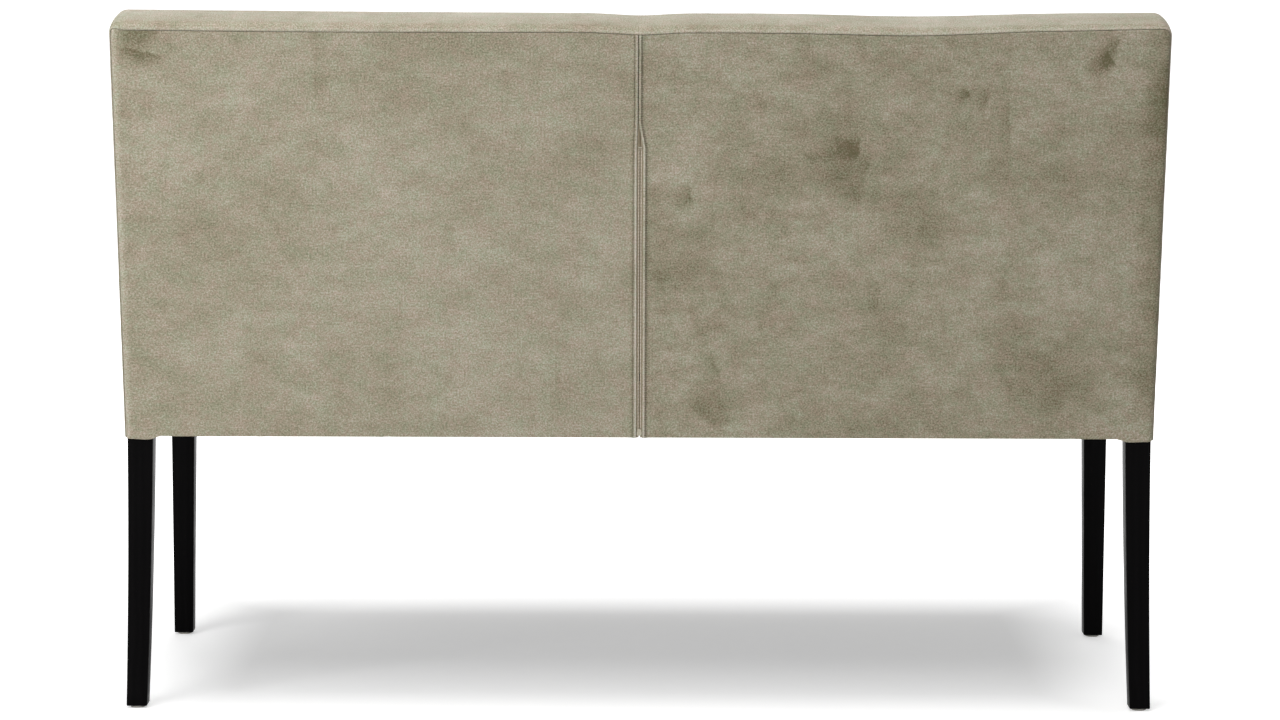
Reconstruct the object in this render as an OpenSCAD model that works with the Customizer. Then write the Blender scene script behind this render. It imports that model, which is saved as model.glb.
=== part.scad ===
// Upholstered dining bench with a reclined back, sabre rear legs and a zipped cover.
// X runs along the bench, +Y points to its rear and +Z up. Left is -X, as seen from the front.
// The origin lies on the floor under the middle of the bench.

/* [Overall] */
// Width over the cover
bench_w = 1400; // [1000:10:2000]
// Depth from the front border to the rear top edge
bench_d = 620; // [590:5:680]
// Height of the cover's hem above the floor
hem_h = 369; // [350:1:374]
// Height of the seat's crown above the hem
seat_rise = 128; // [116:1:150]

/* [Back] */
// Length of the back from hem to top edge, along its slope
back_len = 573; // [520:1:620]
// Thickness of the upholstered back at its crown
back_t = 96; // [84:1:120]
// Lean of the back from upright, in degrees
recline = 10.2; // [8:0.1:12]
// Rise of the crown on the back's front face
back_crown = 6; // [2:1:12]
// Radius of the two top corners, seen from behind
corner_r = 24; // [20:1:30]
// Rounding of the back's edges, which the boxing wraps round
edge_r = 10; // [6:1:12]
// Thickness of the foam behind the posts
rear_pad_t = 14.4; // [10:0.2:20]
// Thickness of the foam over the top rail
top_pad_t = 18.4; // [14:0.2:26]

/* [Seat] */
// Rise of the crown on the seat, front to rear
seat_crown = 12; // [4:1:18]
// Rounding of the seat's top edges
seat_r = 14; // [8:1:18]
// Rounding of the seat's front corners, seen from above
seat_corner_r = 12; // [8:0.5:12]
// Width of a seat belt
belt_w = 60; // [40:5:70]
// Thickness of the elastic belts
belt_t = 2; // [1:0.5:3]
// Distance of a seat belt's end from its rail's outer face
belt_in = 2; // [0:0.5:8]
// Number of seat belts
seat_belts = 10; // [6:2:12]
// Number of back belts
back_belts = 4; // [2:1:4]
// Thickness of the deck cloth over the belts
deck_t = 1; // [0.5:0.5:2]
// Thickness of the wadding over the foam
wadding_t = 5; // [3:0.5:8]

/* [Cover] */
// Thickness of the cover fabric
cover_t = 1.6; // [1:0.1:2.4]
// Wadding between the frame and the cover at the sides
side_wad_t = 1.6; // [1:0.1:4]
// Wadding between the frame and the cover at the front
front_wad_t = 5.5; // [3:0.5:8]
// Width of the hem turned in under the rails
lip_w = 26; // [20:1:30]
// Width of the hook tape that holds the hem
hook_w = 16; // [10:1:18]
// Thickness of the hook tape
hook_t = 2.4; // [1.5:0.1:4]
// Thickness of the dust cover under the seat
dust_t = 1; // [0.5:0.1:1.4]

/* [Frame] */
// Section of the legs and posts
leg_w = 35; // [32:1:42]
// Section of the legs at the floor
foot_w = 28; // [22:1:32]
// How far a rear foot stands behind its knee
foot_kick = 44; // [20:1:60]
// Inner radius of the knee between rear leg and post
knee_r = 300; // [200:10:320]
// Height of the knee above the rails' underside
knee_rise = 14; // [6:1:20]
// Thickness of the seat rails
rail_t = 25; // [20:1:28]
// Height of the seat rails
rail_h = 70; // [60:1:74]
// Height of the back's top rail
top_rail_h = 50; // [40:1:80]
// Height of the back's lower rail
low_rail_h = 40; // [34:1:60]
// Gap from the deck up to the lower rail
low_rail_gap = 10; // [4:1:20]
// Width of the centre post
post_w = 40; // [30:1:60]
// Height of the centre rail
centre_rail_h = 50; // [40:1:58]
// Length of a corner block along the rails
block_l = 48; // [40:1:60]
// Thickness of a corner block's ends
block_end = 12; // [8:1:14]
// Height of a corner block
block_h = 54; // [40:1:58]

/* [Fasteners] */
// Diameter of the dowels
dowel_d = 8; // [6:1:8]
// Length of the dowels
dowel_l = 30; // [24:1:36]
// Diameter of the corner bolts
bolt_d = 8; // [6:1:8]
// Depth of a corner bolt in its leg
bolt_in = 30; // [20:1:34]
// Diameter of the block screws
screw_d = 4.5; // [3.5:0.5:5]
// Length of the block screws
screw_l = 26; // [20:1:30]
// Height of a block screw's head
head_h = 3; // [2:0.5:4]
// Distance of a block screw from its block's end
screw_in = 9; // [7:0.5:12]
// Thickness of the washers
washer_t = 1.6; // [1:0.1:2.5]
// Height of the nuts
nut_h = 6.5; // [4:0.5:8]
// How far a corner bolt stands out of its nut
bolt_out = 3; // [1:0.5:6]
// Distance between the two dowels at a long rail's end
rail_dowels = 44; // [20:1:50]
// Distance between the two dowels at a side rail's end
side_dowels = 20; // [14:1:40]
// Distance between the two dowels at the centre rail's end
centre_dowels = 24; // [14:1:36]
// Distance between the two dowels at the end of a rail of the back
back_rail_dowels = 22; // [14:1:24]
// Distance between the two dowels at the centre post's end
post_dowels = 20; // [14:1:28]
// Diameter of the floor glides
glide_d = 20; // [16:1:24]
// Height of the floor glides
glide_h = 3; // [2:0.5:6]
// Radial clearance of pegs and bolts in their bores
bore_fit = 0.05; // [0.02:0.01:0.1]

/* [Zip] */
// Open width between the cover's folds along the zip
zip_gap = 7.5; // [7:0.1:9]
// Length of the zip's coil, from the hem upwards
zip_len = 406; // [300:1:420]
// Length over which the folds close above the coil
zip_close = 36; // [20:1:60]
// Width of one zip tape
tape_w = 12; // [8:0.5:14]
// Thickness of the zip tapes
tape_t = 0.6; // [0.4:0.1:0.8]
// Width of one row of coil
coil_w = 2.15; // [1.8:0.05:2.3]
// Height of the coil above its tape
coil_t = 1.3; // [1.1:0.05:1.4]
// Distance between two turns of the coil
coil_pitch = 2; // [1.5:0.1:4]
// Length of the zip's slider
slider_l = 9.5; // [8:0.5:14]
// Thickness of the slider's plates
slider_t = 0.8; // [0.6:0.1:1]
// Running clearance round the slider
slider_fit = 0.25; // [0.2:0.01:0.3]
// Length of the zip's end stops
stop_l = 2; // [1.5:0.1:3]
// Height of the bottom stops above the hem, along the slope
stop_v0 = 1; // [0.5:0.1:3]
// Gap between the two rows of coil, in which the slider's neck runs
rows_gap = 1.1; // [0.9:0.05:1.3]

/* [Hidden] */

$fn = 64;
// Facets of a full circle where its radius is metres
fine = 720;
// Steps of a crown's arc and of its round corners
crown_steps = 24;
corner_steps = 6;
// Clearance between seat and back, where their covers meet
soft_gap = 0.3;
// Clearance of cloth round a leg
cloth_gap = 1;
// Gap between the slider and a stop, at both ends of its travel
stop_fit = 0.3;
// Gap between the coil's turns and the slider's rear plate
coil_fit = 0.2;
// How far the stops stand out of the rear face
stop_face = 0.5;
// Room beside and beyond the zip's tapes in the rear pad
tape_room = 2;
// Room in front of the slider in the rear pad
slider_room = 0.6;
// Length of a cutting block that reaches past the bench on every side
far = 3 * max(bench_w, bench_d, hem_h + back_len);

// How far a cutting tool reaches past what it cuts
over = 5;
// Where the drawing of the back ends, below the hem, so that its span runs on past the seat
back_low = -120;

half_w = bench_w / 2;
seat_h = hem_h + seat_rise;
y_front = -bench_d / 2;
// Rear face of the cover at the hem: the rounded rear top edge then reaches bench_d / 2
y_hem = bench_d / 2 - (back_len - edge_r) * sin(recline) - edge_r * (1 - cos(recline));

// Outer faces of the legs and side rails
frame_half = half_w - cover_t - side_wad_t;
leg_in = frame_half - leg_w;
rail_z0 = hem_h + cover_t + hook_t;
rail_z1 = rail_z0 + rail_h;
rail_zc = rail_z0 + rail_h / 2;
deck_z = rail_z1 + belt_t + deck_t;

front_y0 = y_front + cover_t + front_wad_t;
front_y1 = front_y0 + leg_w;

// The back is drawn upright, with its rear face on Y = 0 and its hem on Z = 0, then leaned
post_0 = cover_t + rear_pad_t;
post_1 = post_0 + leg_w;
post_top = back_len - cover_t - top_pad_t;
knee_z = rail_z0 + knee_rise;
// Distance of the leg's rear face in front of y_hem at the knee, so that the post is tangent
knee_back = (post_0 - (knee_z - hem_h) * sin(recline) - knee_r * (1 - cos(recline))) / cos(recline);
knee_y = y_hem - knee_back;
// Where the straight post begins, along the slope
post_start = (knee_y + knee_r - y_hem) * sin(recline) + (knee_z - hem_h) * cos(recline);
rear_leg_front = knee_y - leg_w;
rear_rail_0 = knee_y - rail_t;
side_rail_x = frame_half - rail_t / 2;

// Radius of an arc that starts square to a line and moves off it by rise over run
function arc_r(run, rise) = (run * run + rise * rise) / (2 * rise);
leg_drop = knee_z - glide_h;
rear_sabre_r = arc_r(leg_drop, foot_kick);
front_sabre_r = arc_r(leg_drop, foot_kick + leg_w - foot_w);

// Point of the upright back drawing, w inwards from its rear face and v up its slope, as [Y, Z]
function back_point(w, v) = [
    y_hem + v * sin(recline) - w * cos(recline),
    hem_h + v * cos(recline) + w * sin(recline)
];
// Height along the slope at which a layer w inwards crosses a level plane
function slope_at(w, z) = (z - hem_h - w * sin(recline)) / cos(recline);

low_rail_v0 = slope_at(post_0, deck_z) + low_rail_gap;
low_rail_v1 = low_rail_v0 + low_rail_h;
top_rail_v0 = post_top - top_rail_h;
back_belt_0 = post_1;
back_belt_1 = post_1 + belt_t;

// Middle of the seat between its front edge and the back
back_at_seat = back_point(back_t - back_crown, slope_at(back_t, seat_h))[0];
seat_mid = (y_front + back_at_seat) / 2;
seat_half_d = (back_at_seat - y_front) / 2;
// Extra height of the cross-wise crown, which keeps its crest clear of the other's
cross_lift = 3;
seat_seam_z = seat_h - seat_crown - seat_r;

// Zip, measured up the slope from the hem
tape_0 = cover_t;
tape_1 = cover_t + tape_t;
coil_top = cover_t - coil_t;
row_in = rows_gap / 2;
row_out = row_in + coil_w;
slider_v0 = stop_v0 + stop_l + stop_fit;
top_stop_v = zip_len - stop_l;
slider_half = zip_gap / 2 - slider_fit;
slider_front_0 = tape_1 + slider_fit;
slider_front_1 = slider_front_0 + slider_t;
// Travel of the slider, which the record's joint range stays within
slider_travel = top_stop_v - stop_fit - slider_l - slider_v0;
assert(slider_travel > slider_l, "the zip is too short for its slider");

fabric = "#968e79";
velvet_light = "#a29a84";
black_wood = "#161414";
bare_wood = "#c9a878";
foam = "#e6dfb8";
wadding = "#f2f1ec";
steel = "#9a9da1";
cloth_black = "#2a2a2c";
belt_colour = "#3b3a38";
zip_colour = "#8f8772";

// Turns an upright drawing of the back into its place
module on_back() {
    translate([0, y_hem, hem_h]) rotate([-recline, 0, 0]) children();
}

// Extrudes a [Y, Z] outline from x0 to x1
module along_x(x0, x1) {
    translate([x0, 0, 0]) rotate([90, 0, 90]) linear_extrude(x1 - x0) children();
}

// Extrudes an [X, Z] outline from y0 to y1
module along_y(y0, y1) {
    translate([0, y1, 0]) rotate([90, 0, 0]) linear_extrude(y1 - y0) children();
}

// Block between two corners
module block(low, high) {
    translate(low) cube(high - low);
}

// Draws a piece and its mirror image on the other side
module both_sides() {
    children();
    mirror([1, 0, 0]) children();
}

// Half space above or below a level plane, as far as the bench reaches
module above(z) {
    block([-far, -far, z], [far, far, z + far]);
}

module below(z) {
    block([-far, -far, z - far], [far, far, z]);
}

// Points on an arc from one angle to another
function arc_points(centre, r, from, to, steps) = [
    for (i = [0 : steps]) let (t = from + (to - from) * i / steps) centre + r * [cos(t), sin(t)]
];

// Outline with its crest at the origin: an arc of the given rise over its half span, with
// round corners that are tangent to the arc and to the sides, and a base far below
module crowned_outline(half_span, rise, corner) {
    r_arc = arc_r(half_span, rise);
    corner_x = half_span - corner;
    corner_y = -r_arc + sqrt(pow(r_arc - corner, 2) - pow(corner_x, 2));
    // Direction in which arc and corner touch, seen from the arc's centre
    touch = atan2(corner_y + r_arc, corner_x);
    polygon(concat(
        [[half_span, -2 * half_span]],
        arc_points([corner_x, corner_y], corner, 0, touch, corner_steps),
        arc_points([0, -r_arc], r_arc, touch, 180 - touch, crown_steps),
        arc_points([-corner_x, corner_y], corner, 180 - touch, 180, corner_steps),
        [[-half_span, -2 * half_span]]
    ));
}

// Square outline of a half width and a top, with round top corners
module round_top(half_span, top, corner, base) {
    translate([-half_span, base]) square([2 * half_span, top - corner - base]);
    translate([corner - half_span, base]) square([2 * (half_span - corner), top - base]);
    for (side = [-1, 1]) translate([side * (half_span - corner), top - corner]) circle(corner);
}

// Solid of the whole upright back, drawn in by inset on every side
module back_solid(inset) {
    low = back_low;
    r = edge_r - inset;
    intersection() {
        along_y(-far, far) round_top(half_w - inset, back_len - inset, corner_r - inset, low);
        along_x(-far, far) intersection() {
            translate([-back_t + inset, (back_len - inset + low) / 2]) rotate(90)
                crowned_outline((back_len - inset - low) / 2, back_crown, r);
            translate([-far / 2 - inset, 0]) round_top(far / 2, back_len - inset, r, low);
        }
        translate([0, 0, low]) linear_extrude(far) intersection() {
            translate([0, -back_t - cross_lift + inset]) rotate(180)
                crowned_outline(half_w - inset, back_crown + cross_lift, r);
            translate([0, -far / 2]) round_top(half_w - inset, far / 2 - inset, r, -far);
        }
    }
}

// Solid of the whole seat down to the hem, drawn in by inset on every side but the lowest
module seat_solid(inset) {
    intersection() {
        translate([0, 0, hem_h - 1]) linear_extrude(far) rotate(180)
            round_top(half_w - inset, -y_front - inset, seat_corner_r - inset, -y_hem);
        along_x(-far, far) translate([seat_mid, seat_h - inset])
            crowned_outline(seat_half_d - inset, seat_crown, seat_r - inset);
        along_y(-far, far) translate([0, seat_h + cross_lift - inset])
            crowned_outline(half_w - inset, seat_crown + cross_lift, seat_r - inset);
    }
}

// Cuts away what the back fills, with a clearance, and what lies below a level plane
module in_front_of_back(z) {
    difference() {
        children();
        on_back() back_solid(-soft_gap);
        below(z);
    }
}

// Outline that the boxing leaves free on the front and rear faces of the back
module field_outline() {
    round_top(half_w - edge_r, back_len - edge_r, corner_r - edge_r, back_low);
}

// A dowel, or its bore, centred on a joint and laid along an axis
module dowel(place, turn, fit) {
    translate(place) rotate(turn) cylinder(h = dowel_l + 4 * fit, d = dowel_d + 2 * fit, center = true);
}

module seat_dowels(fit) {
    for (z = [-rail_dowels / 2, rail_dowels / 2]) both_sides() {
        dowel([leg_in, front_y0 + rail_t / 2, rail_zc + z], [0, 90, 0], fit);
        dowel([leg_in, knee_y - rail_t / 2, rail_zc + z], [0, 90, 0], fit);
    }
    for (z = [-side_dowels / 2, side_dowels / 2]) both_sides() {
        dowel([side_rail_x, front_y1, rail_zc + z], [90, 0, 0], fit);
        dowel([side_rail_x, rear_leg_front, rail_zc + z], [90, 0, 0], fit);
    }
    for (z = [-centre_dowels / 2, centre_dowels / 2]) {
        dowel([0, front_y0 + rail_t, rail_z0 + centre_rail_h / 2 + z], [90, 0, 0], fit);
        dowel([0, rear_rail_0, rail_z0 + centre_rail_h / 2 + z], [90, 0, 0], fit);
    }
}

module back_dowels(fit) {
    on_back() {
        for (v = [-back_rail_dowels / 2, back_rail_dowels / 2]) both_sides() {
            dowel([leg_in, -post_0 - leg_w / 2, top_rail_v0 + top_rail_h / 2 + v], [0, 90, 0], fit);
            dowel([leg_in, -post_0 - leg_w / 2, low_rail_v0 + low_rail_h / 2 + v], [0, 90, 0], fit);
        }
        for (x = [-post_dowels / 2, post_dowels / 2], v = [top_rail_v0, low_rail_v1])
            dowel([x, -post_0 - leg_w / 2, v], [0, 0, 0], fit);
    }
}

// Corner of the frame where a bolt enters: front is 1 at the front legs and -1 at the rear ones
function corner_at(front) = [leg_in, front > 0 ? front_y1 : rear_leg_front];

// Places a piece on the bolt's axis of each right corner, +X into the leg
module at_bolt(front) {
    translate([corner_at(front)[0], corner_at(front)[1], rail_zc]) rotate([0, 0, -45 * front]) children();
}

// Distance of a block's inner face from the leg's edge, along the bolt
block_face = (block_l + block_end - (leg_w - rail_t)) * sqrt(0.5);
bolt_inner = block_face + washer_t + nut_h + bolt_out;

module corner_bolt_bores(fit) {
    both_sides() for (front = [1, -1]) at_bolt(front)
        translate([-bolt_inner, 0, 0]) rotate([0, 90, 0])
            cylinder(h = bolt_inner + bolt_in + fit, d = bolt_d + 2 * fit);
}

// Screw through a block, square to its rail; its head has more room round it than its shank
module block_screw(fit) {
    head_fit = 20 * fit;
    rotate([0, 90, 0]) {
        cylinder(h = screw_l + fit, d = screw_d + 2 * fit);
        translate([0, 0, -head_h - head_fit]) cylinder(h = head_h + head_fit, d = 2 * screw_d + head_fit);
    }
}

module block_screws_all(fit) {
    both_sides() for (front = [1, -1]) translate([corner_at(front)[0], corner_at(front)[1], rail_zc]) {
        translate([-block_l + screw_in, 0, 0]) rotate([0, 0, -90 * front]) block_screw(fit);
        translate([0, front * (block_l - screw_in), 0]) block_screw(fit);
    }
}

module front_leg() {
    color(black_wood) difference() {
        intersection() {
            along_y(front_y0, front_y1) polygon([
                [frame_half, glide_h], [frame_half, rail_z1], [leg_in, rail_z1],
                [leg_in, rail_z0], [frame_half - foot_w, glide_h]
            ]);
            along_x(leg_in, frame_half) polygon([
                [front_y0, glide_h], [front_y0, rail_z1], [front_y1, rail_z1],
                [front_y1, rail_z0], [front_y0 + foot_w, glide_h]
            ]);
        }
        seat_dowels(bore_fit);
        corner_bolt_bores(bore_fit);
    }
}

// Side view of a rear leg: a sabre below the knee, a bend, and a straight leaned post
module rear_leg_side() {
    knee = [knee_y + knee_r, knee_z];
    reach = 2 * (knee_r + leg_w);
    difference() {
        intersection() {
            translate([rear_leg_front + front_sabre_r, knee_z]) circle(front_sabre_r, $fn = fine);
            translate([rear_leg_front, glide_h]) square([leg_w + foot_kick + 1, leg_drop]);
        }
        translate([knee_y + rear_sabre_r, knee_z]) circle(rear_sabre_r, $fn = fine);
    }
    intersection() {
        difference() {
            translate(knee) circle(knee_r + leg_w, $fn = fine);
            translate(knee) circle(knee_r, $fn = fine);
        }
        polygon([knee, knee + reach * [-1, 0], knee + reach * [-cos(recline), sin(recline)]]);
    }
    polygon([
        back_point(post_0, post_start), back_point(post_0, post_top),
        back_point(post_1, post_top), back_point(post_1, post_start)
    ]);
}

module rear_leg_blank() {
    intersection() {
        along_x(leg_in, frame_half) rear_leg_side();
        along_y(-far, far) polygon([
            [frame_half, glide_h], [frame_half, far], [leg_in, far],
            [leg_in, rail_z0], [frame_half - foot_w, glide_h]
        ]);
    }
}

module rear_leg() {
    color(black_wood) difference() {
        rear_leg_blank();
        seat_dowels(bore_fit);
        back_dowels(bore_fit);
        corner_bolt_bores(bore_fit);
    }
}

module front_rail() {
    color(bare_wood) difference() {
        block([-leg_in, front_y0, rail_z0], [leg_in, front_y0 + rail_t, rail_z1]);
        seat_dowels(bore_fit);
        block_screws_all(bore_fit);
    }
}

module rear_rail() {
    color(bare_wood) difference() {
        block([-leg_in, rear_rail_0, rail_z0], [leg_in, knee_y, rail_z1]);
        seat_dowels(bore_fit);
        block_screws_all(bore_fit);
    }
}

module side_rail() {
    color(bare_wood) difference() {
        block([frame_half - rail_t, front_y1, rail_z0], [frame_half, rear_leg_front + 2 * over, rail_z1]);
        along_x(leg_in - over, frame_half + over) rear_leg_side();
        seat_dowels(bore_fit);
        block_screws_all(bore_fit);
    }
}

module centre_rail() {
    color(bare_wood) difference() {
        block([-rail_t / 2, front_y0 + rail_t, rail_z0], [rail_t / 2, rear_rail_0, rail_z0 + centre_rail_h]);
        seat_dowels(bore_fit);
    }
}

module top_rail() {
    color(bare_wood) difference() {
        on_back() block([-leg_in, -post_1, top_rail_v0], [leg_in, -post_0, post_top]);
        back_dowels(bore_fit);
    }
}

// The lower rail and the centre post are as thick as the seat rails, midway in the posts' depth
module lower_back_rail() {
    inset = (leg_w - rail_t) / 2;
    color(bare_wood) difference() {
        on_back() block([-leg_in, -post_1 + inset, low_rail_v0], [leg_in, -post_0 - inset, low_rail_v1]);
        back_dowels(bore_fit);
    }
}

module centre_post() {
    inset = (leg_w - rail_t) / 2;
    color(bare_wood) difference() {
        on_back() block(
            [-post_w / 2, -post_1 + inset, low_rail_v1], [post_w / 2, -post_0 - inset, top_rail_v0]
        );
        back_dowels(bore_fit);
    }
}

// One block fills the corner between a leg and two rails, with its inner face at 45 degrees
module corner_block(front) {
    seat = leg_w - rail_t;
    corner = corner_at(front);
    difference() {
        translate([corner[0], corner[1], rail_zc - block_h / 2]) linear_extrude(block_h)
            scale([1, front]) polygon([
                [-block_l, -seat], [0, -seat], [0, 0], [seat, 0],
                [seat, block_l], [seat - block_end, block_l], [-block_l, block_end - seat]
            ]);
        along_x(leg_in, half_w) rear_leg_side();
        corner_bolt_bores(bore_fit);
        block_screws_all(bore_fit);
    }
}

module corner_blocks() {
    color(bare_wood) both_sides() {
        corner_block(1);
        corner_block(-1);
    }
}

module dowels() {
    color("#d8bd90") {
        seat_dowels(0);
        back_dowels(0);
    }
}

module corner_bolts() {
    color(steel) corner_bolt_bores(0);
}

module bolt_washers() {
    color(steel) both_sides() for (front = [1, -1]) at_bolt(front)
        translate([-block_face - washer_t, 0, 0]) rotate([0, 90, 0]) difference() {
            cylinder(h = washer_t, d = 2 * bolt_d + 4);
            translate([0, 0, -over]) cylinder(h = washer_t + 2 * over, d = bolt_d + 2 * bore_fit);
        }
}

module bolt_nuts() {
    color(steel) both_sides() for (front = [1, -1]) at_bolt(front)
        translate([-block_face - washer_t - nut_h, 0, 0]) rotate([0, 90, 0]) difference() {
            cylinder(h = nut_h, d = 1.85 * bolt_d, $fn = 6);
            translate([0, 0, -over]) cylinder(h = nut_h + 2 * over, d = bolt_d + 2 * bore_fit);
        }
}

module block_screws() {
    color(steel) block_screws_all(0);
}

module floor_glides() {
    foot_x = frame_half - foot_w / 2;
    color("#d9d6cd") both_sides() for (y = [front_y0 + foot_w / 2, knee_y + foot_kick - foot_w / 2])
        translate([foot_x, y, 0]) cylinder(h = glide_h, d = glide_d);
}

module seat_belts_group() {
    pitch = 2 * leg_in / seat_belts;
    color(belt_colour) for (i = [0 : seat_belts - 1])
        translate([-leg_in + (i + 0.5) * pitch - belt_w / 2, front_y0 + belt_in, rail_z1])
            cube([belt_w, knee_y - front_y0 - 2 * belt_in, belt_t]);
}

module back_belts_group() {
    pitch = (top_rail_v0 - low_rail_v1) / back_belts;
    color(belt_colour) on_back() for (i = [0 : back_belts - 1])
        translate([-frame_half, -back_belt_1, low_rail_v1 + (i + 0.5) * pitch - belt_w / 2])
            cube([2 * frame_half, belt_t, belt_w]);
}

module deck_cloth() {
    color(cloth_black) difference() {
        block([-frame_half, front_y0, deck_z - deck_t], [frame_half, knee_y, deck_z]);
        both_sides() block(
            [leg_in - cloth_gap, rear_leg_front - cloth_gap, rail_z1], [half_w, knee_y + over, deck_z + over]
        );
    }
}

module seat_foam() {
    color(foam) in_front_of_back(deck_z) seat_solid(cover_t + wadding_t);
}

module seat_wadding() {
    color(wadding) in_front_of_back(deck_z) difference() {
        seat_solid(cover_t);
        seat_solid(cover_t + wadding_t);
    }
}

// Wadding outside the seat rails and the front legs, at the front and both sides
module seat_edge_wadding() {
    color(wadding) in_front_of_back(rail_z0) difference() {
        seat_solid(cover_t);
        above(deck_z);
        block([-frame_half, front_y0, rail_z0 - over], [frame_half, far, deck_z + over]);
    }
}

module back_foam() {
    color(foam) difference() {
        on_back() intersection() {
            back_solid(cover_t + wadding_t);
            block([-far, -far, -far], [far, -back_belt_1, far]);
        }
        below(deck_z);
    }
}

module back_wadding() {
    color(wadding) difference() {
        on_back() intersection() {
            difference() {
                back_solid(cover_t);
                back_solid(cover_t + wadding_t);
            }
            block([-far, -far, -far], [far, -back_belt_1, far]);
        }
        below(deck_z);
    }
}

// Wadding round the posts and over the top rail, between the two foams of the back
module back_edge_wadding() {
    color(wadding) difference() {
        on_back() difference() {
            intersection() {
                back_solid(cover_t);
                block([-far, -back_belt_1, -far], [far, -post_0, far]);
            }
            block([-frame_half, -far, -far], [frame_half, far, post_top]);
        }
        below(rail_z0);
    }
}

module rear_pad() {
    color(foam) difference() {
        on_back() difference() {
            intersection() {
                back_solid(cover_t);
                block([-far, -post_0, -far], [far, far, far]);
            }
            block([-tape_w - tape_room, -tape_1, -far], [tape_w + tape_room, far, zip_len + zip_close + over]);
            block(
                [-zip_gap / 2 - cloth_gap, -slider_front_1 - slider_room, -far],
                [zip_gap / 2 + cloth_gap, far, zip_len + tape_room]
            );
        }
        both_sides() rear_leg_blank();
        block([-leg_in - over, rear_rail_0, rail_z0 - over], [leg_in + over, knee_y, rail_z1]);
        below(rail_z0);
    }
}

module dust_cover() {
    x = frame_half - hook_w - cloth_gap;
    color(cloth_black) difference() {
        block([-x, front_y0 + hook_w + cloth_gap, rail_z0 - dust_t], [x, knee_y - hook_w - cloth_gap, rail_z0]);
        both_sides() {
            block([leg_in - cloth_gap, y_front, hem_h], [half_w, front_y1 + cloth_gap, rail_z1]);
            block([leg_in - cloth_gap, rear_leg_front - cloth_gap, hem_h], [half_w, bench_d, rail_z1]);
        }
    }
}

module hook_tapes() {
    z0 = hem_h + cover_t;
    x = leg_in - cloth_gap;
    color("#3a3936") {
        block([-x, front_y0, z0], [x, front_y0 + hook_w, rail_z0]);
        block([-x, knee_y - hook_w, z0], [x, knee_y, rail_z0]);
        both_sides() block(
            [frame_half - hook_w, front_y1 + cloth_gap, z0],
            [frame_half, rear_leg_front - cloth_gap, rail_z0]
        );
    }
}

module seat_shell() {
    in_front_of_back(hem_h) difference() {
        seat_solid(0);
        seat_solid(cover_t);
    }
}

module seat_top_cover() {
    color(fabric) difference() {
        seat_shell();
        below(seat_seam_z);
    }
}

module front_border() {
    color(velvet_light) {
        intersection() {
            seat_shell();
            block([-far, -far, hem_h], [far, y_front + seat_corner_r, seat_seam_z]);
        }
        block(
            [-leg_in + cloth_gap, y_front + cover_t / 2, hem_h],
            [leg_in - cloth_gap, y_front + lip_w, hem_h + cover_t]
        );
    }
}

module seat_side() {
    color(fabric) {
        intersection() {
            seat_shell();
            block([0, y_front + seat_corner_r, hem_h], [far, far, seat_seam_z]);
        }
        block(
            [half_w - lip_w, front_y1 + cloth_gap, hem_h],
            [half_w - cover_t / 2, rear_leg_front - 2 * leg_w, hem_h + cover_t]
        );
    }
}

module inside_back() {
    color(fabric) difference() {
        on_back() intersection() {
            difference() {
                back_solid(0);
                back_solid(cover_t);
            }
            along_y(-far, -back_t / 2) field_outline();
        }
        below(deck_z);
    }
}

// The strip that runs round the back's edge, from hem over the top to hem
module boxing() {
    difference() {
        on_back() difference() {
            back_solid(0);
            back_solid(cover_t);
            along_y(-far, far) field_outline();
        }
        below(hem_h);
        // Behind the seat only the flat side of the strip runs on down to the hem
        block([cover_t - half_w, -far, 0], [half_w - cover_t, rear_leg_front, seat_seam_z]);
    }
}

module top_border() {
    color(velvet_light) intersection() {
        boxing();
        on_back() block([-far, -far, back_len - corner_r], [far, far, far]);
    }
}

module side_border() {
    color(velvet_light) intersection() {
        boxing();
        on_back() block([0, -far, -far], [far, far, back_len - corner_r]);
    }
}

// Right half of the rear panel, open along the zip, with its hem turned in under the rail
module outer_back() {
    color(fabric) {
        difference() {
            on_back() along_y(-cover_t, 0) intersection() {
                field_outline();
                polygon([
                    [zip_gap / 2, -far], [zip_gap / 2, zip_len], [0, zip_len + zip_close],
                    [0, far], [far, far], [far, -far]
                ]);
            }
            below(hem_h);
        }
        block(
            [zip_gap / 2 + cloth_gap, y_hem - lip_w, hem_h],
            [leg_in - cloth_gap, y_hem - cover_t / 2, hem_h + cover_t]
        );
    }
}

module zip_tape() {
    color(zip_colour) difference() {
        on_back() block([row_in, -tape_1, back_low], [row_in + tape_w, -tape_0, zip_len + zip_close]);
        below(hem_h + cover_t + cloth_gap / 2);
    }
}

// One row of the coil: a bar from stop to stop with a rib for each turn
module zip_coil() {
    start = stop_v0 + stop_l;
    turns = floor((top_stop_v - start) / coil_pitch);
    valley = coil_top + coil_t * 0.45;
    // A turn's foot, the two ends of its crown and its other foot, as shares of the pitch
    turn = [0.1, 0.35, 0.65, 0.9];
    teeth = [for (i = [0 : turns - 1], p = [0 : 3]) [
        p == 0 || p == 3 ? -valley : -coil_top, start + (i + turn[p]) * coil_pitch
    ]];
    color("#b3ab97") on_back() along_x(row_in, row_out)
        polygon(concat([[-tape_0, start]], [[-valley, start]], teeth,
            [[-valley, top_stop_v], [-tape_0, top_stop_v]]));
}

// Two stops at the hem, one on each row, and one that bridges the rows at the top
module zip_stops() {
    color(zip_colour) on_back() {
        both_sides() block([row_in, -tape_0, stop_v0], [row_out, stop_face, stop_v0 + stop_l]);
        block([-row_out, -tape_0, top_stop_v], [row_out, stop_face, zip_len]);
    }
}

// Slider: cut corners, length of its broad part, and where its neck lies between the rows
nose_r = 1;
broad_share = 0.45;
neck_v0 = 0.6;
neck_v1 = 3.2;

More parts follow.
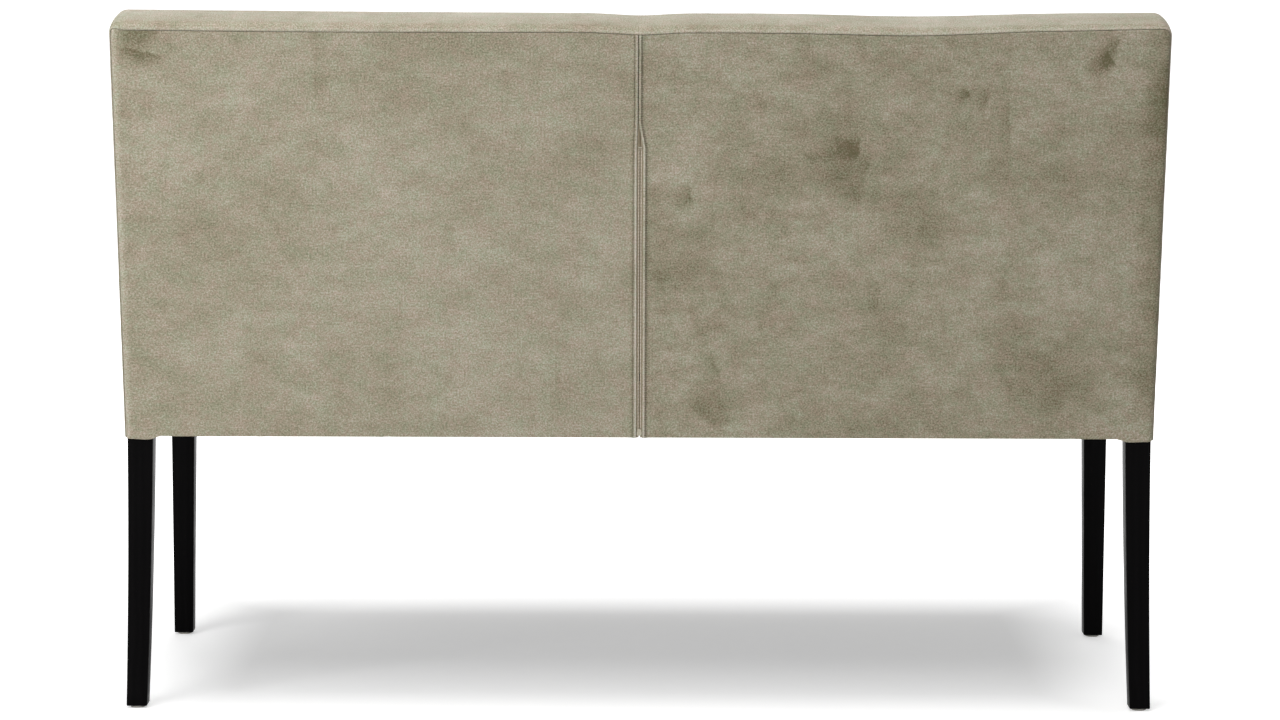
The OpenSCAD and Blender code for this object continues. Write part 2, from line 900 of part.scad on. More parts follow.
// Outline of the slider's plates: broad at the lower end, where the rows part
module slider_outline() {
    nose = slider_half;
    tail = 0.8 * slider_half;
    tail_v = 0.8 * slider_l;
    polygon([
        [nose_r - nose, 0], [nose - nose_r, 0], [nose, nose_r], [nose, broad_share * slider_l],
        [tail, tail_v], [tail - nose_r, slider_l], [nose_r - tail, slider_l],
        [-tail, tail_v], [-nose, broad_share * slider_l], [-nose, nose_r]
    ]);
}

module zip_slider() {
    wall = slider_half - row_out - slider_fit;
    rear = -coil_top + coil_fit;
    // What joins the plates runs into them by this
    into = 0.1;
    color(zip_colour) on_back() translate([0, 0, slider_v0]) {
        along_y(rear, rear + slider_t) slider_outline();
        along_y(-slider_front_1, -slider_front_0) slider_outline();
        both_sides() block(
            [slider_half - wall, -tape_0 + slider_fit, nose_r], [slider_half, rear + into, broad_share * slider_l]
        );
        block([slider_fit - row_in, -slider_front_0 - into, neck_v0], [row_in - slider_fit, rear + into, neck_v1]);
    }
}

mirror([1, 0, 0]) front_leg();  // front_leg_left
front_leg();  // front_leg_right
mirror([1, 0, 0]) rear_leg();  // rear_leg_left
rear_leg();  // rear_leg_right
front_rail();
rear_rail();
mirror([1, 0, 0]) side_rail();  // side_rail_left
side_rail();  // side_rail_right
centre_rail();
top_rail();
lower_back_rail();
centre_post();
corner_blocks();
dowels();
corner_bolts();
bolt_washers();
bolt_nuts();
block_screws();
floor_glides();
seat_belts_group();
back_belts_group();
deck_cloth();
seat_foam();
seat_wadding();
seat_edge_wadding();
back_foam();
back_wadding();
back_edge_wadding();
rear_pad();
dust_cover();
hook_tapes();
seat_top_cover();
front_border();
mirror([1, 0, 0]) seat_side();  // seat_side_left
seat_side();  // seat_side_right
inside_back();
top_border();
mirror([1, 0, 0]) side_border();  // side_border_left
side_border();  // side_border_right
mirror([1, 0, 0]) outer_back();  // outer_back_left
outer_back();  // outer_back_right
mirror([1, 0, 0]) zip_tape();  // zip_tape_left
zip_tape();  // zip_tape_right
mirror([1, 0, 0]) zip_coil();  // zip_coil_left
zip_coil();  // zip_coil_right
zip_stops();
zip_slider();
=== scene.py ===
"""Looks of the dining bench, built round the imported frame. Sizes are in millimetres and become metres in the mesh."""

import logging
import math
from dataclasses import dataclass, field
from enum import Enum

import bmesh
import bpy
import numpy as np
from mathutils import Euler, Matrix, Vector


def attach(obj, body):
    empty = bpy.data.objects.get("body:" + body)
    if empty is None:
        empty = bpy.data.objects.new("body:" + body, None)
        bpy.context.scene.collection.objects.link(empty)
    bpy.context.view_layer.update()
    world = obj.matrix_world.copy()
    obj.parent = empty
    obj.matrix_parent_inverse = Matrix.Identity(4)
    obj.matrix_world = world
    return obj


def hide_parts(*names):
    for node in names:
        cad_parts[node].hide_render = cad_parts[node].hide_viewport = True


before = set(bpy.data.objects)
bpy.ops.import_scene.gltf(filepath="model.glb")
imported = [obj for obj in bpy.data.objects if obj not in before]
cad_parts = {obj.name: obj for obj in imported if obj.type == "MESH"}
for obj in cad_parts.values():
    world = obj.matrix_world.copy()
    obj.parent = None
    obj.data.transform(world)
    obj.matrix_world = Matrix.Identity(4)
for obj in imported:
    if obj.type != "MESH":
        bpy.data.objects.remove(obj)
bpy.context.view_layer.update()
MM = 0.001
logging.basicConfig(level=logging.INFO, format="%(message)s")
log = logging.getLogger("bench")

Array = np.ndarray


class Body(Enum):
    """CAD bodies that a piece rides on."""

    BENCH = "bench"
    SLIDER = "zip_slider"


class Side(Enum):
    """Sides as seen from the front: right is +X."""

    LEFT = -1
    RIGHT = 1

    @property
    def word(self) -> str:
        """Name of the side in a piece's name."""
        return self.name.lower()


# ---------------------------------------------------------------- sizes


@dataclass(frozen=True)
class BenchSizes:
    """Sizes shared by several sub-assemblies, as in the part's source."""

    half_w: float = 700.0
    front_y: float = -310.0
    hem_z: float = 369.0
    hem_y: float = 210.143
    lean: float = math.radians(10.2)
    back_len: float = 573.0
    back_t: float = 96.0
    back_crown: float = 6.0
    cross_lift: float = 3.0
    edge_r: float = 10.0
    corner_r: float = 16.0
    seat_rise: float = 128.0
    seat_crown: float = 12.0
    seat_r: float = 14.0
    seat_mid: float = -84.23
    seat_half_d: float = 225.77
    seam_rise: float = 102.0
    deck_rise: float = 77.0
    rail_rise: float = 4.0
    leg_in: float = 661.8
    frame_half: float = 696.8
    front_leg_y0: float = -302.9
    front_leg_y1: float = -267.9
    rear_leg_y0: float = 166.942
    knee_y: float = 201.942
    lip: float = 26.0
    zip_gap: float = 7.5
    zip_len: float = 406.0
    zip_close: float = 36.0

    @property
    def seat_z(self) -> float:
        """Top of the seat's crown."""
        return self.hem_z + self.seat_rise

    @property
    def seam_z(self) -> float:
        """Height of the seam round the seat."""
        return self.hem_z + self.seam_rise

    @property
    def deck_z(self) -> float:
        """Height of the deck cloth, which the foams stand on."""
        return self.hem_z + self.deck_rise

    @property
    def rail_z0(self) -> float:
        """Underside of the rails."""
        return self.hem_z + self.rail_rise

    @property
    def field_half(self) -> float:
        """Half width of the rear and front faces between the boxing's seams."""
        return self.half_w - self.edge_r

    @property
    def field_top(self) -> float:
        """Height up the slope of the boxing's upper seams."""
        return self.back_len - self.edge_r

    @property
    def field_corner(self) -> float:
        """Corner radius of those faces."""
        return self.corner_r - self.edge_r


SIZES = BenchSizes()


def smooth(t: Array | float) -> Array | float:
    """Eases from 0 to 1 as t goes from 0 to 1.

    Args:
        t: Position, clipped to 0 and 1.

    Returns:
        The eased share.
    """
    t = np.clip(t, 0.0, 1.0)
    return t * t * (3 - 2 * t)


def bump(x: Array | float, centre: float, width: float) -> Array | float:
    """Round hump of height 1.

    Args:
        x: Position.
        centre: Where the hump is.
        width: Its half width.

    Returns:
        The height at x.
    """
    return np.exp(-(((x - centre) / width) ** 2))


def soft_noise(x: Array, y: Array, cell: float, seed: int) -> Array:
    """Smooth random field between -1 and 1, the same each run.

    Args:
        x: First coordinate.
        y: Second coordinate.
        cell: Size of its blotches.
        seed: Picks the field.

    Returns:
        The field's value at each point.
    """
    table = np.random.default_rng(seed).uniform(-1, 1, (64, 64))
    gx, gy = np.asarray(x) / cell + 1000.5, np.asarray(y) / cell + 1000.5
    ix, iy = np.floor(gx).astype(int), np.floor(gy).astype(int)
    fx, fy = smooth(gx - ix), smooth(gy - iy)
    a, b = table[ix % 64, iy % 64], table[(ix + 1) % 64, iy % 64]
    c, d = table[ix % 64, (iy + 1) % 64], table[(ix + 1) % 64, (iy + 1) % 64]
    return (a * (1 - fx) + b * fx) * (1 - fy) + (c * (1 - fx) + d * fx) * fy


def on_back(x: Array, inward: Array, up: Array) -> Array:
    """Places points of the upright drawing of the back on its lean.

    Args:
        x: Along the bench.
        inward: Depth in from the rear face.
        up: Height up the slope from the hem.

    Returns:
        Points in the row frame, in millimetres.
    """
    s, c = math.sin(SIZES.lean), math.cos(SIZES.lean)
    x, inward, up = np.broadcast_arrays(x, inward, up)
    return np.stack([x, SIZES.hem_y + up * s - inward * c, SIZES.hem_z + up * c + inward * s], -1)


def spaced(start: float, end: float, step: float, near: tuple[float, ...] = ()) -> list[float]:
    """Positions for the lines of a cloth's grid, denser next to both ends.

    Args:
        start: First position.
        end: Last position.
        step: Usual distance between two lines.
        near: Distances from both ends at which there is a line too.

    Returns:
        The positions in order.
    """
    inner = list(near)
    reach = inner[-1] if inner else 0.0
    count = max(1, round((end - start - 2 * reach) / step))
    middle = [start + reach + (end - start - 2 * reach) * i / count for i in range(count + 1)]
    first = [start] + [start + d for d in inner[:-1]] if inner else []
    last = [end - d for d in reversed(inner[:-1])] + [end] if inner else []
    return first + middle + last


SEAM_LINES = (0.7, 1.5, 2.6, 4.2, 6.5, 9.5, 13.0)


# ---------------------------------------------------------------- mesh tools


def link(name: str, mesh: bpy.types.Mesh) -> bpy.types.Object:
    """Adds a mesh to the scene as an object at the origin."""
    obj = bpy.data.objects.new(name, mesh)
    bpy.context.scene.collection.objects.link(obj)
    return obj


def cloth_grid(
    name: str, points: Array, uv: Array, outward: Vector, keep: Array | None = None
) -> bpy.types.Object:
    """Makes a sheet from a grid of points.

    Args:
        name: Name of the piece.
        points: Rows by columns by 3, in millimetres.
        uv: Rows by columns by 2, in millimetres over the cloth.
        outward: Direction that the sheet's middle faces.
        keep: Which quads stay, rows by columns; all of them where it isn't given.

    Returns:
        The sheet, smooth, with its face out and a UV map in metres.
    """
    rows, cols = points.shape[:2]
    index = np.arange(rows * cols).reshape(rows, cols)
    quads = np.stack([index[:-1, :-1], index[:-1, 1:], index[1:, 1:], index[1:, :-1]], -1).reshape(-1, 4)
    places = points.reshape(-1, 3)
    flat = uv.reshape(-1, 2)
    if keep is not None:
        quads = quads[keep.ravel()]
        used, quads = np.unique(quads, return_inverse=True)
        quads = quads.reshape(-1, 4)
        places, flat = places[used], flat[used]
    middle = points[rows // 2, cols // 2]
    across = points[rows // 2, min(cols // 2 + 1, cols - 1)] - middle
    along = points[min(rows // 2 + 1, rows - 1), cols // 2] - middle
    if np.dot(np.cross(across, along), np.array(outward)) < 0:
        quads = quads[:, ::-1]
    mesh = bpy.data.meshes.new(name)
    mesh.from_pydata((places * MM).tolist(), [], quads.tolist())
    layer = mesh.uv_layers.new(name="cloth")
    layer.data.foreach_set("uv", (flat[quads.ravel()] * MM).astype(np.float32).ravel())
    mesh.polygons.foreach_set("use_smooth", np.ones(len(quads), bool))
    mesh.update()
    return link(name, mesh)


def vertex_places(obj: bpy.types.Object) -> Array:
    """Reads an object's vertices in millimetres."""
    places = np.zeros(len(obj.data.vertices) * 3, np.float32)
    obj.data.vertices.foreach_get("co", places)
    return places.reshape(-1, 3).astype(float) / MM


def place_vertices(obj: bpy.types.Object, places: Array) -> None:
    """Writes an object's vertices, given in millimetres."""
    obj.data.vertices.foreach_set("co", (places * MM).astype(np.float32).ravel())
    obj.data.update()


def activate(obj: bpy.types.Object) -> None:
    """Selects one object and nothing else."""
    if bpy.context.object and bpy.context.object.mode != "OBJECT":
        bpy.ops.object.mode_set(mode="OBJECT")
    bpy.ops.object.select_all(action="DESELECT")
    obj.select_set(True)
    bpy.context.view_layer.objects.active = obj


def apply_modifier(obj: bpy.types.Object, kind: str, **settings: object) -> None:
    """Adds a modifier and applies it.

    Args:
        obj: The piece.
        kind: Blender's name of the modifier.
        **settings: Its settings.
    """
    activate(obj)
    made = obj.modifiers.new(kind.lower(), kind)
    for key, value in settings.items():
        setattr(made, key, value)
    bpy.ops.object.modifier_apply(modifier=made.name)


def thicken(obj: bpy.types.Object, thickness: float) -> None:
    """Gives a sheet its thickness, inwards."""
    apply_modifier(obj, "SOLIDIFY", thickness=thickness * MM, offset=-1.0, use_rim=True, use_even_offset=False)


def freeze(obj: bpy.types.Object) -> None:
    """Moves an object's place, turn and scale into its mesh."""
    activate(obj)
    bpy.ops.object.transform_apply(location=True, rotation=True, scale=True)


def add_block(name: str, low: tuple[float, float, float], high: tuple[float, float, float]) -> bpy.types.Object:
    """Adds a cube primitive between two corners and leaves it in object mode.

    Args:
        name: Name of the piece.
        low: Lowest corner in millimetres.
        high: Highest corner in millimetres.

    Returns:
        The block, active and selected.
    """
    bpy.ops.object.select_all(action="DESELECT")
    centre = [(a + b) / 2 * MM for a, b in zip(low, high)]
    bpy.ops.mesh.primitive_cube_add(size=1, location=centre)
    obj = bpy.context.object
    obj.name = obj.data.name = name
    obj.scale = [(b - a) * MM for a, b in zip(low, high)]
    freeze(obj)
    return obj


def pick(obj: bpy.types.Object, test: object, faces: bool = False) -> None:
    """Selects vertices or faces of the object in edit mode by their place.

    Args:
        obj: Object in edit mode.
        test: Takes a point in millimetres and says whether it is picked.
        faces: Picks faces by their middle instead of vertices.
    """
    bpy.ops.mesh.select_mode(type="FACE" if faces else "VERT")
    bpy.ops.mesh.select_all(action="DESELECT")
    mesh = bmesh.from_edit_mesh(obj.data)
    for item in mesh.faces if faces else mesh.verts:
        place = item.calc_center_median() if faces else item.co
        item.select_set(bool(test(place / MM)))
    mesh.select_flush_mode()
    bmesh.update_edit_mesh(obj.data)


def round_edges(obj: bpy.types.Object, radius: float, segments: int = 3, angle: float = 40.0) -> None:
    """Rounds a hard piece's edges and shades it smooth between them."""
    apply_modifier(
        obj, "BEVEL", width=radius * MM, segments=segments, limit_method="ANGLE", angle_limit=math.radians(angle)
    )
    activate(obj)
    bpy.ops.object.shade_smooth_by_angle(angle=math.radians(40))


# ---------------------------------------------------------------- finishes


class Nodes:
    """Builds a node tree by short calls."""

    def __init__(self, tree: bpy.types.NodeTree) -> None:
        """Starts with an empty tree."""
        self.tree = tree
        tree.nodes.clear()

    def add(self, kind: str, inputs: dict[object, object] | None = None, **settings: object) -> bpy.types.Node:
        """Adds a node.

        Args:
            kind: Blender's class of the node.
            inputs: Value or output for each input, by name or number.
            **settings: The node's own settings.

        Returns:
            The node.
        """
        node = self.tree.nodes.new(kind)
        for key, value in settings.items():
            setattr(node, key, value)
        for key, value in (inputs or {}).items():
            if isinstance(value, bpy.types.NodeSocket):
                self.tree.links.new(value, node.inputs[key])
            else:
                node.inputs[key].default_value = value
        return node

    def math(self, operation: str, a: object, b: object = 0.0, c: object = 0.0) -> bpy.types.NodeSocket:
        """Adds a math node and returns its value."""
        return self.add("ShaderNodeMath", {0: a, 1: b, 2: c}, operation=operation).outputs[0]

    def noise(self, vector: object, scale: float, detail: float = 2.0, rough: float = 0.5) -> bpy.types.NodeSocket:
        """Adds a noise texture and returns its value, between 0 and 1."""
        node = self.add(
            "ShaderNodeTexNoise", {"Vector": vector, "Scale": scale, "Detail": detail, "Roughness": rough}
        )
        return node.outputs[0]

    def stretch(self, vector: object, scale: tuple[float, float, float]) -> bpy.types.NodeSocket:
        """Scales coordinates by axis and returns them."""
        return self.add("ShaderNodeMapping", {"Vector": vector, "Scale": scale}).outputs[0]

    def mix(self, share: object, a: object, b: object) -> bpy.types.NodeSocket:
        """Mixes two colours and returns the colour."""
        node = self.add("ShaderNodeMix", {"Factor": share}, data_type="RGBA")
        for key, value in ((6, a), (7, b)):
            if isinstance(value, bpy.types.NodeSocket):
                self.tree.links.new(value, node.inputs[key])
            else:
                node.inputs[key].default_value = value
        return node.outputs[2]


def make_group(name: str, inputs: dict[str, tuple[str, float]], outputs: dict[str, str]) -> tuple[Nodes, object, object]:
    """Starts a shader node group.

    Args:
        name: Name of the group.
        inputs: Socket type and default value by name.
        outputs: Socket type by name.

    Returns:
        The builder, the group's input node and its output node.
    """
    tree = bpy.data.node_groups.new(name, "ShaderNodeTree")
    for key, (kind, value) in inputs.items():
        made = tree.interface.new_socket(name=key, in_out="INPUT", socket_type=kind)
        if kind == "NodeSocketFloat":
            made.default_value = value
    for key, kind in outputs.items():
        tree.interface.new_socket(name=key, in_out="OUTPUT", socket_type=kind)
    nodes = Nodes(tree)
    return nodes, nodes.add("NodeGroupInput"), nodes.add("NodeGroupOutput")


VECTOR_IN = ("NodeSocketVector", 0.0)
FLOAT = "NodeSocketFloat"


def nap_group() -> bpy.types.NodeTree:
    """Brushed pile: soft clouds, streaks along both threads and a fine grain.

    Returns:
        Group with Shade, a value round 0, Hue from 0, warm, to 1, cool, and Height in metres.
    """
    nodes, given, out = make_group(
        "brushed_nap",
        {"Vector": VECTOR_IN, "Cloud": (FLOAT, 1.0), "Streak": (FLOAT, 1.0), "Grain": (FLOAT, 1.0)},
        {"Shade": FLOAT, "Hue": FLOAT, "Height": FLOAT},
    )
    vector = given.outputs["Vector"]

    def centred(value: object, gain: float) -> object:
        """Turns 0 to 1 into a swing round 0."""
        return nodes.math("MULTIPLY", nodes.math("SUBTRACT", value, 0.5), gain)

    big = centred(nodes.noise(nodes.stretch(vector, (1, 1.2, 1)), 5.0, 3.0, 0.6), 0.28)
    patch = centred(nodes.noise(nodes.stretch(vector, (1, 1.5, 1)), 19.0, 4.0, 0.66), 0.30)
    small = centred(nodes.noise(nodes.stretch(vector, (1, 1.3, 1)), 75.0, 3.0, 0.6), 0.17)
    # Pressed flecks have one crisp side
    fleck = nodes.noise(nodes.stretch(vector, (1.6, 1, 1)), 21.0, 3.0, 0.55)
    fleck = nodes.add("ShaderNodeMapRange", {0: fleck, 1: 0.56, 2: 0.72, 3: 0.0, 4: -0.05}, interpolation_type="SMOOTHSTEP")
    cloud = nodes.math("ADD", nodes.math("ADD", nodes.math("ADD", big, patch), small), fleck.outputs[0])
    cloud = nodes.math("MULTIPLY", cloud, given.outputs["Cloud"])
    weft = centred(nodes.noise(nodes.stretch(vector, (45, 620, 1)), 1.0, 2.0, 0.55), 0.16)
    warp = centred(nodes.noise(nodes.stretch(vector, (620, 45, 1)), 1.0, 2.0, 0.55), 0.15)
    streak = nodes.math("MULTIPLY", nodes.math("ADD", weft, warp), given.outputs["Streak"])
    fine = centred(nodes.noise(vector, 430.0, 3.0, 0.8), 2.0)
    grain = nodes.math("MULTIPLY", fine, given.outputs["Grain"])
    shade = nodes.math("ADD", nodes.math("ADD", cloud, streak), grain)
    nodes.tree.links.new(shade, out.inputs["Shade"])
    tint = nodes.math("ADD", nodes.noise(vector, 33.0, 3.0, 0.7), nodes.noise(vector, 190.0, 2.0, 0.7))
    hue = nodes.add("ShaderNodeMapRange", {0: tint, 1: 0.78, 2: 1.22, 3: 0.0, 4: 1.0})
    nodes.tree.links.new(hue.outputs[0], out.inputs["Hue"])
    height = nodes.math("MULTIPLY", nodes.math("ADD", streak, nodes.math("MULTIPLY", grain, 0.3)), 0.0004)
    nodes.tree.links.new(height, out.inputs["Height"])
    return nodes.tree


def weave_group() -> bpy.types.NodeTree:
    """Plain weave of crossing threads.

    Returns:
        Group with Shade, between 0 and 1, and Height in metres.
    """
    nodes, given, out = make_group(
        "plain_weave", {"Vector": VECTOR_IN, "Pitch": (FLOAT, 0.001)}, {"Shade": FLOAT, "Height": FLOAT}
    )
    split = nodes.add("ShaderNodeSeparateXYZ", {0: given.outputs["Vector"]})
    turns = nodes.math("DIVIDE", math.pi, given.outputs["Pitch"])
    over = nodes.math("SINE", nodes.math("MULTIPLY", split.outputs[0], turns))
    under = nodes.math("SINE", nodes.math("MULTIPLY", split.outputs[1], turns))
    cross = nodes.math("MULTIPLY_ADD", nodes.math("MULTIPLY", over, under), 0.5, 0.5)
    nodes.tree.links.new(cross, out.inputs["Shade"])
    height = nodes.math("MULTIPLY", cross, nodes.math("MULTIPLY", given.outputs["Pitch"], 0.25))
    nodes.tree.links.new(height, out.inputs["Height"])
    return nodes.tree


def grain_group() -> bpy.types.NodeTree:
    """Wood grain along a stretched axis, with pores.

    Returns:
        Group with Shade, between 0 and 1, and Height in metres.
    """
    nodes, given, out = make_group("wood_grain", {"Vector": VECTOR_IN}, {"Shade": FLOAT, "Height": FLOAT})
    vector = given.outputs["Vector"]
    rings = nodes.add(
        "ShaderNodeTexWave",
        {"Vector": vector, "Scale": 28.0, "Distortion": 5.0, "Detail": 3.0, "Detail Scale": 1.4},
    ).outputs[1]
    pores = nodes.noise(vector, 420.0, 3.0, 0.7)
    shade = nodes.math("ADD", nodes.math("MULTIPLY", rings, 0.55), nodes.math("MULTIPLY", pores, 0.45))
    nodes.tree.links.new(shade, out.inputs["Shade"])
    nodes.tree.links.new(nodes.math("MULTIPLY", pores, 0.00012), out.inputs["Height"])
    return nodes.tree


def pressed_group() -> bpy.types.NodeTree:
    """Patch of pressed pile: crisp on one side, fading on the other.

    Returns:
        Group with Mask, between 0 and 1.
    """
    nodes, given, out = make_group(
        "pressed_pile",
        {
            "Vector": VECTOR_IN,
            "Centre": VECTOR_IN,
            "Turn": (FLOAT, 0.0),
            "Wide": (FLOAT, 0.01),
            "High": (FLOAT, 0.01),
        },
        {"Mask": FLOAT},
    )
    ragged = nodes.add("ShaderNodeTexNoise", {"Vector": given.outputs["Vector"], "Scale": 120.0, "Detail": 3.0})
    centred = nodes.add("ShaderNodeVectorMath", {0: ragged.outputs[1], 1: (0.5, 0.5, 0.5)}, operation="SUBTRACT")
    drift = nodes.add("ShaderNodeVectorMath", {0: centred.outputs[0], "Scale": 0.012}, operation="SCALE")
    near = nodes.add("ShaderNodeVectorMath", {0: given.outputs["Vector"], 1: given.outputs["Centre"]}, operation="SUBTRACT")
    moved = nodes.add("ShaderNodeVectorMath", {0: near.outputs[0], 1: drift.outputs[0]}, operation="ADD")
    turned = nodes.add(
        "ShaderNodeVectorRotate", {"Vector": moved.outputs[0], "Angle": given.outputs["Turn"]}, rotation_type="Z_AXIS"
    )
    split = nodes.add("ShaderNodeSeparateXYZ", {0: turned.outputs[0]})
    across = nodes.math("DIVIDE", split.outputs[0], given.outputs["Wide"])
    along = nodes.math("DIVIDE", split.outputs[1], given.outputs["High"])
    ramp = nodes.add("ShaderNodeMapRange", {0: across, 1: -1.0, 2: 0.9, 3: 0.0, 4: 1.0}, interpolation_type="SMOOTHSTEP")
    stop = nodes.add("ShaderNodeMapRange", {0: across, 1: 1.0, 2: 0.8, 3: 0.0, 4: 1.0})
    wide = nodes.math("ABSOLUTE", along)
    soft = nodes.add("ShaderNodeMapRange", {0: wide, 1: 1.0, 2: 0.15, 3: 0.0, 4: 1.0}, interpolation_type="SMOOTHSTEP")
    mask = nodes.math("MULTIPLY", nodes.math("MULTIPLY", ramp.outputs[0], stop.outputs[0]), soft.outputs[0])
    nodes.tree.links.new(mask, out.inputs["Mask"])
    return nodes.tree


def stitch_group() -> bpy.types.NodeTree:
    """Needle holes along a seam, by the way along it.

    Returns:
        Group with Mask, near 1 at a hole and lower along a stitch.
    """
    nodes, given, out = make_group("needle_holes", {"Vector": VECTOR_IN, "Pitch": (FLOAT, 0.0032)}, {"Mask": FLOAT})
    split = nodes.add("ShaderNodeSeparateXYZ", {0: given.outputs["Vector"]})
    turns = nodes.math("DIVIDE", 2 * math.pi, given.outputs["Pitch"])
    wave = nodes.math("COSINE", nodes.math("MULTIPLY", split.outputs[1], turns))
    nodes.tree.links.new(nodes.math("MULTIPLY_ADD", wave, 0.35, 0.65), out.inputs["Mask"])
    return nodes.tree


def rub_group() -> bpy.types.NodeTree:
    """Handling marks: faint smears that change the gloss.

    Returns:
        Group with Mask, between 0 and 1.
    """
    nodes, given, out = make_group("handling_marks", {"Vector": VECTOR_IN, "Scale": (FLOAT, 9.0)}, {"Mask": FLOAT})
    node = nodes.add(
        "ShaderNodeTexNoise", {"Vector": given.outputs["Vector"], "Scale": given.outputs["Scale"], "Detail": 5.0}
    )
    ramp = nodes.add("ShaderNodeMapRange", {0: node.outputs[0], 1: 0.42, 2: 0.68, 3: 0.0, 4: 1.0})
    nodes.tree.links.new(ramp.outputs[0], out.inputs["Mask"])
    return nodes.tree


Colour = tuple[float, float, float]


def srgb(red: int, green: int, blue: int) -> Colour:
    """Turns a colour from 0 to 255 into linear light."""

    def linear(value: int) -> float:
        """One channel."""
        share = value / 255
        return share / 12.92 if share <= 0.04045 else ((share + 0.055) / 1.055) ** 2.4

    return (linear(red), linear(green), linear(blue))


def rgba(colour: Colour) -> tuple[float, float, float, float]:
    """Colour with full alpha."""
    return (*colour, 1.0)


class Finishes:
    """Node groups and the materials made from them."""

    def __init__(self) -> None:
        """Builds the shared groups once."""
        self.nap = nap_group()
        self.weave = weave_group()
        self.grain = grain_group()
        self.rub = rub_group()
        self.stitches = stitch_group()
        self.pressed = pressed_group()
        self.made: dict[str, bpy.types.Material] = {}

    def start(self, name: str) -> tuple[bpy.types.Material, Nodes, bpy.types.Node]:
        """Starts a material with one Principled shader.

        Args:
            name: Name of the material.

        Returns:
            The material, its builder and the shader.
        """
        material = bpy.data.materials.new(name)
        material.use_nodes = True
        nodes = Nodes(material.node_tree)
        shader = nodes.add("ShaderNodeBsdfPrincipled")
        nodes.add("ShaderNodeOutputMaterial", {"Surface": shader.outputs[0]})
        self.made[name] = material
        return material, nodes, shader

    def group(self, nodes: Nodes, tree: bpy.types.NodeTree, inputs: dict[object, object]) -> bpy.types.Node:
        """Places a shared group in a material."""
        node = nodes.add("ShaderNodeGroup", node_tree=tree)
        for key, value in inputs.items():
            if isinstance(value, bpy.types.NodeSocket):
                nodes.tree.links.new(value, node.inputs[key])
            else:
                node.inputs[key].default_value = value
        return node

    def bump(self, nodes: Nodes, shader: bpy.types.Node, height: object, strength: float = 1.0) -> None:
        """Feeds a height in metres to the shader's normal."""
        node = nodes.add("ShaderNodeBump", {"Height": height, "Strength": strength, "Distance": 1.0})
        nodes.tree.links.new(node.outputs[0], shader.inputs["Normal"])


@dataclass(frozen=True)
class Smudge:
    """Patch where the pile was pressed or brushed another way, in millimetres on the rear panels."""

    x: float
    up: float
    wide: float
    high: float
    angle: float
    depth: float

    @property
    def centre(self) -> tuple[float, float, float]:
        """Its middle on the cloth's UV map, where each panel starts 800 mm from the zip."""
        return ((self.x + math.copysign(800, self.x)) * MM, self.up * MM, 0)


SMUDGES = (
    Smudge(-264, 408, 30, 22, 178, 0.42),
    Smudge(-250, 378, 60, 56, 165, 0.20),
    Smudge(-52, 338, 18, 24, 188, 0.30),
    Smudge(-416, 480, 21, 16, 195, 0.34),
    Smudge(-445, 481, 18, 18, 150, 0.26),
    Smudge(-474, 430, 18, 80, 183, 0.14),
    Smudge(-600, 517, 26, 19, 205, 0.42),
    Smudge(-612, 540, 16, 26, 165, 0.26),
    Smudge(-680, 470, 30, 80, 181, 0.24),
    Smudge(666, 546, 40, 26, 240, 0.36),
    Smudge(654, 522, 14, 34, 258, 0.34),
    Smudge(-515, 90, 80, 60, 150, 0.14),
    Smudge(-118, 62, 50, 44, 40, 0.22),
    Smudge(-80, 92, 30, 26, 200, 0.18),
    Smudge(510, 130, 50, 44, 80, 0.09),
    Smudge(-345, 300, 70, 60, 170, 0.13),
    Smudge(420, 520, 14, 90, 2, 0.10),
)


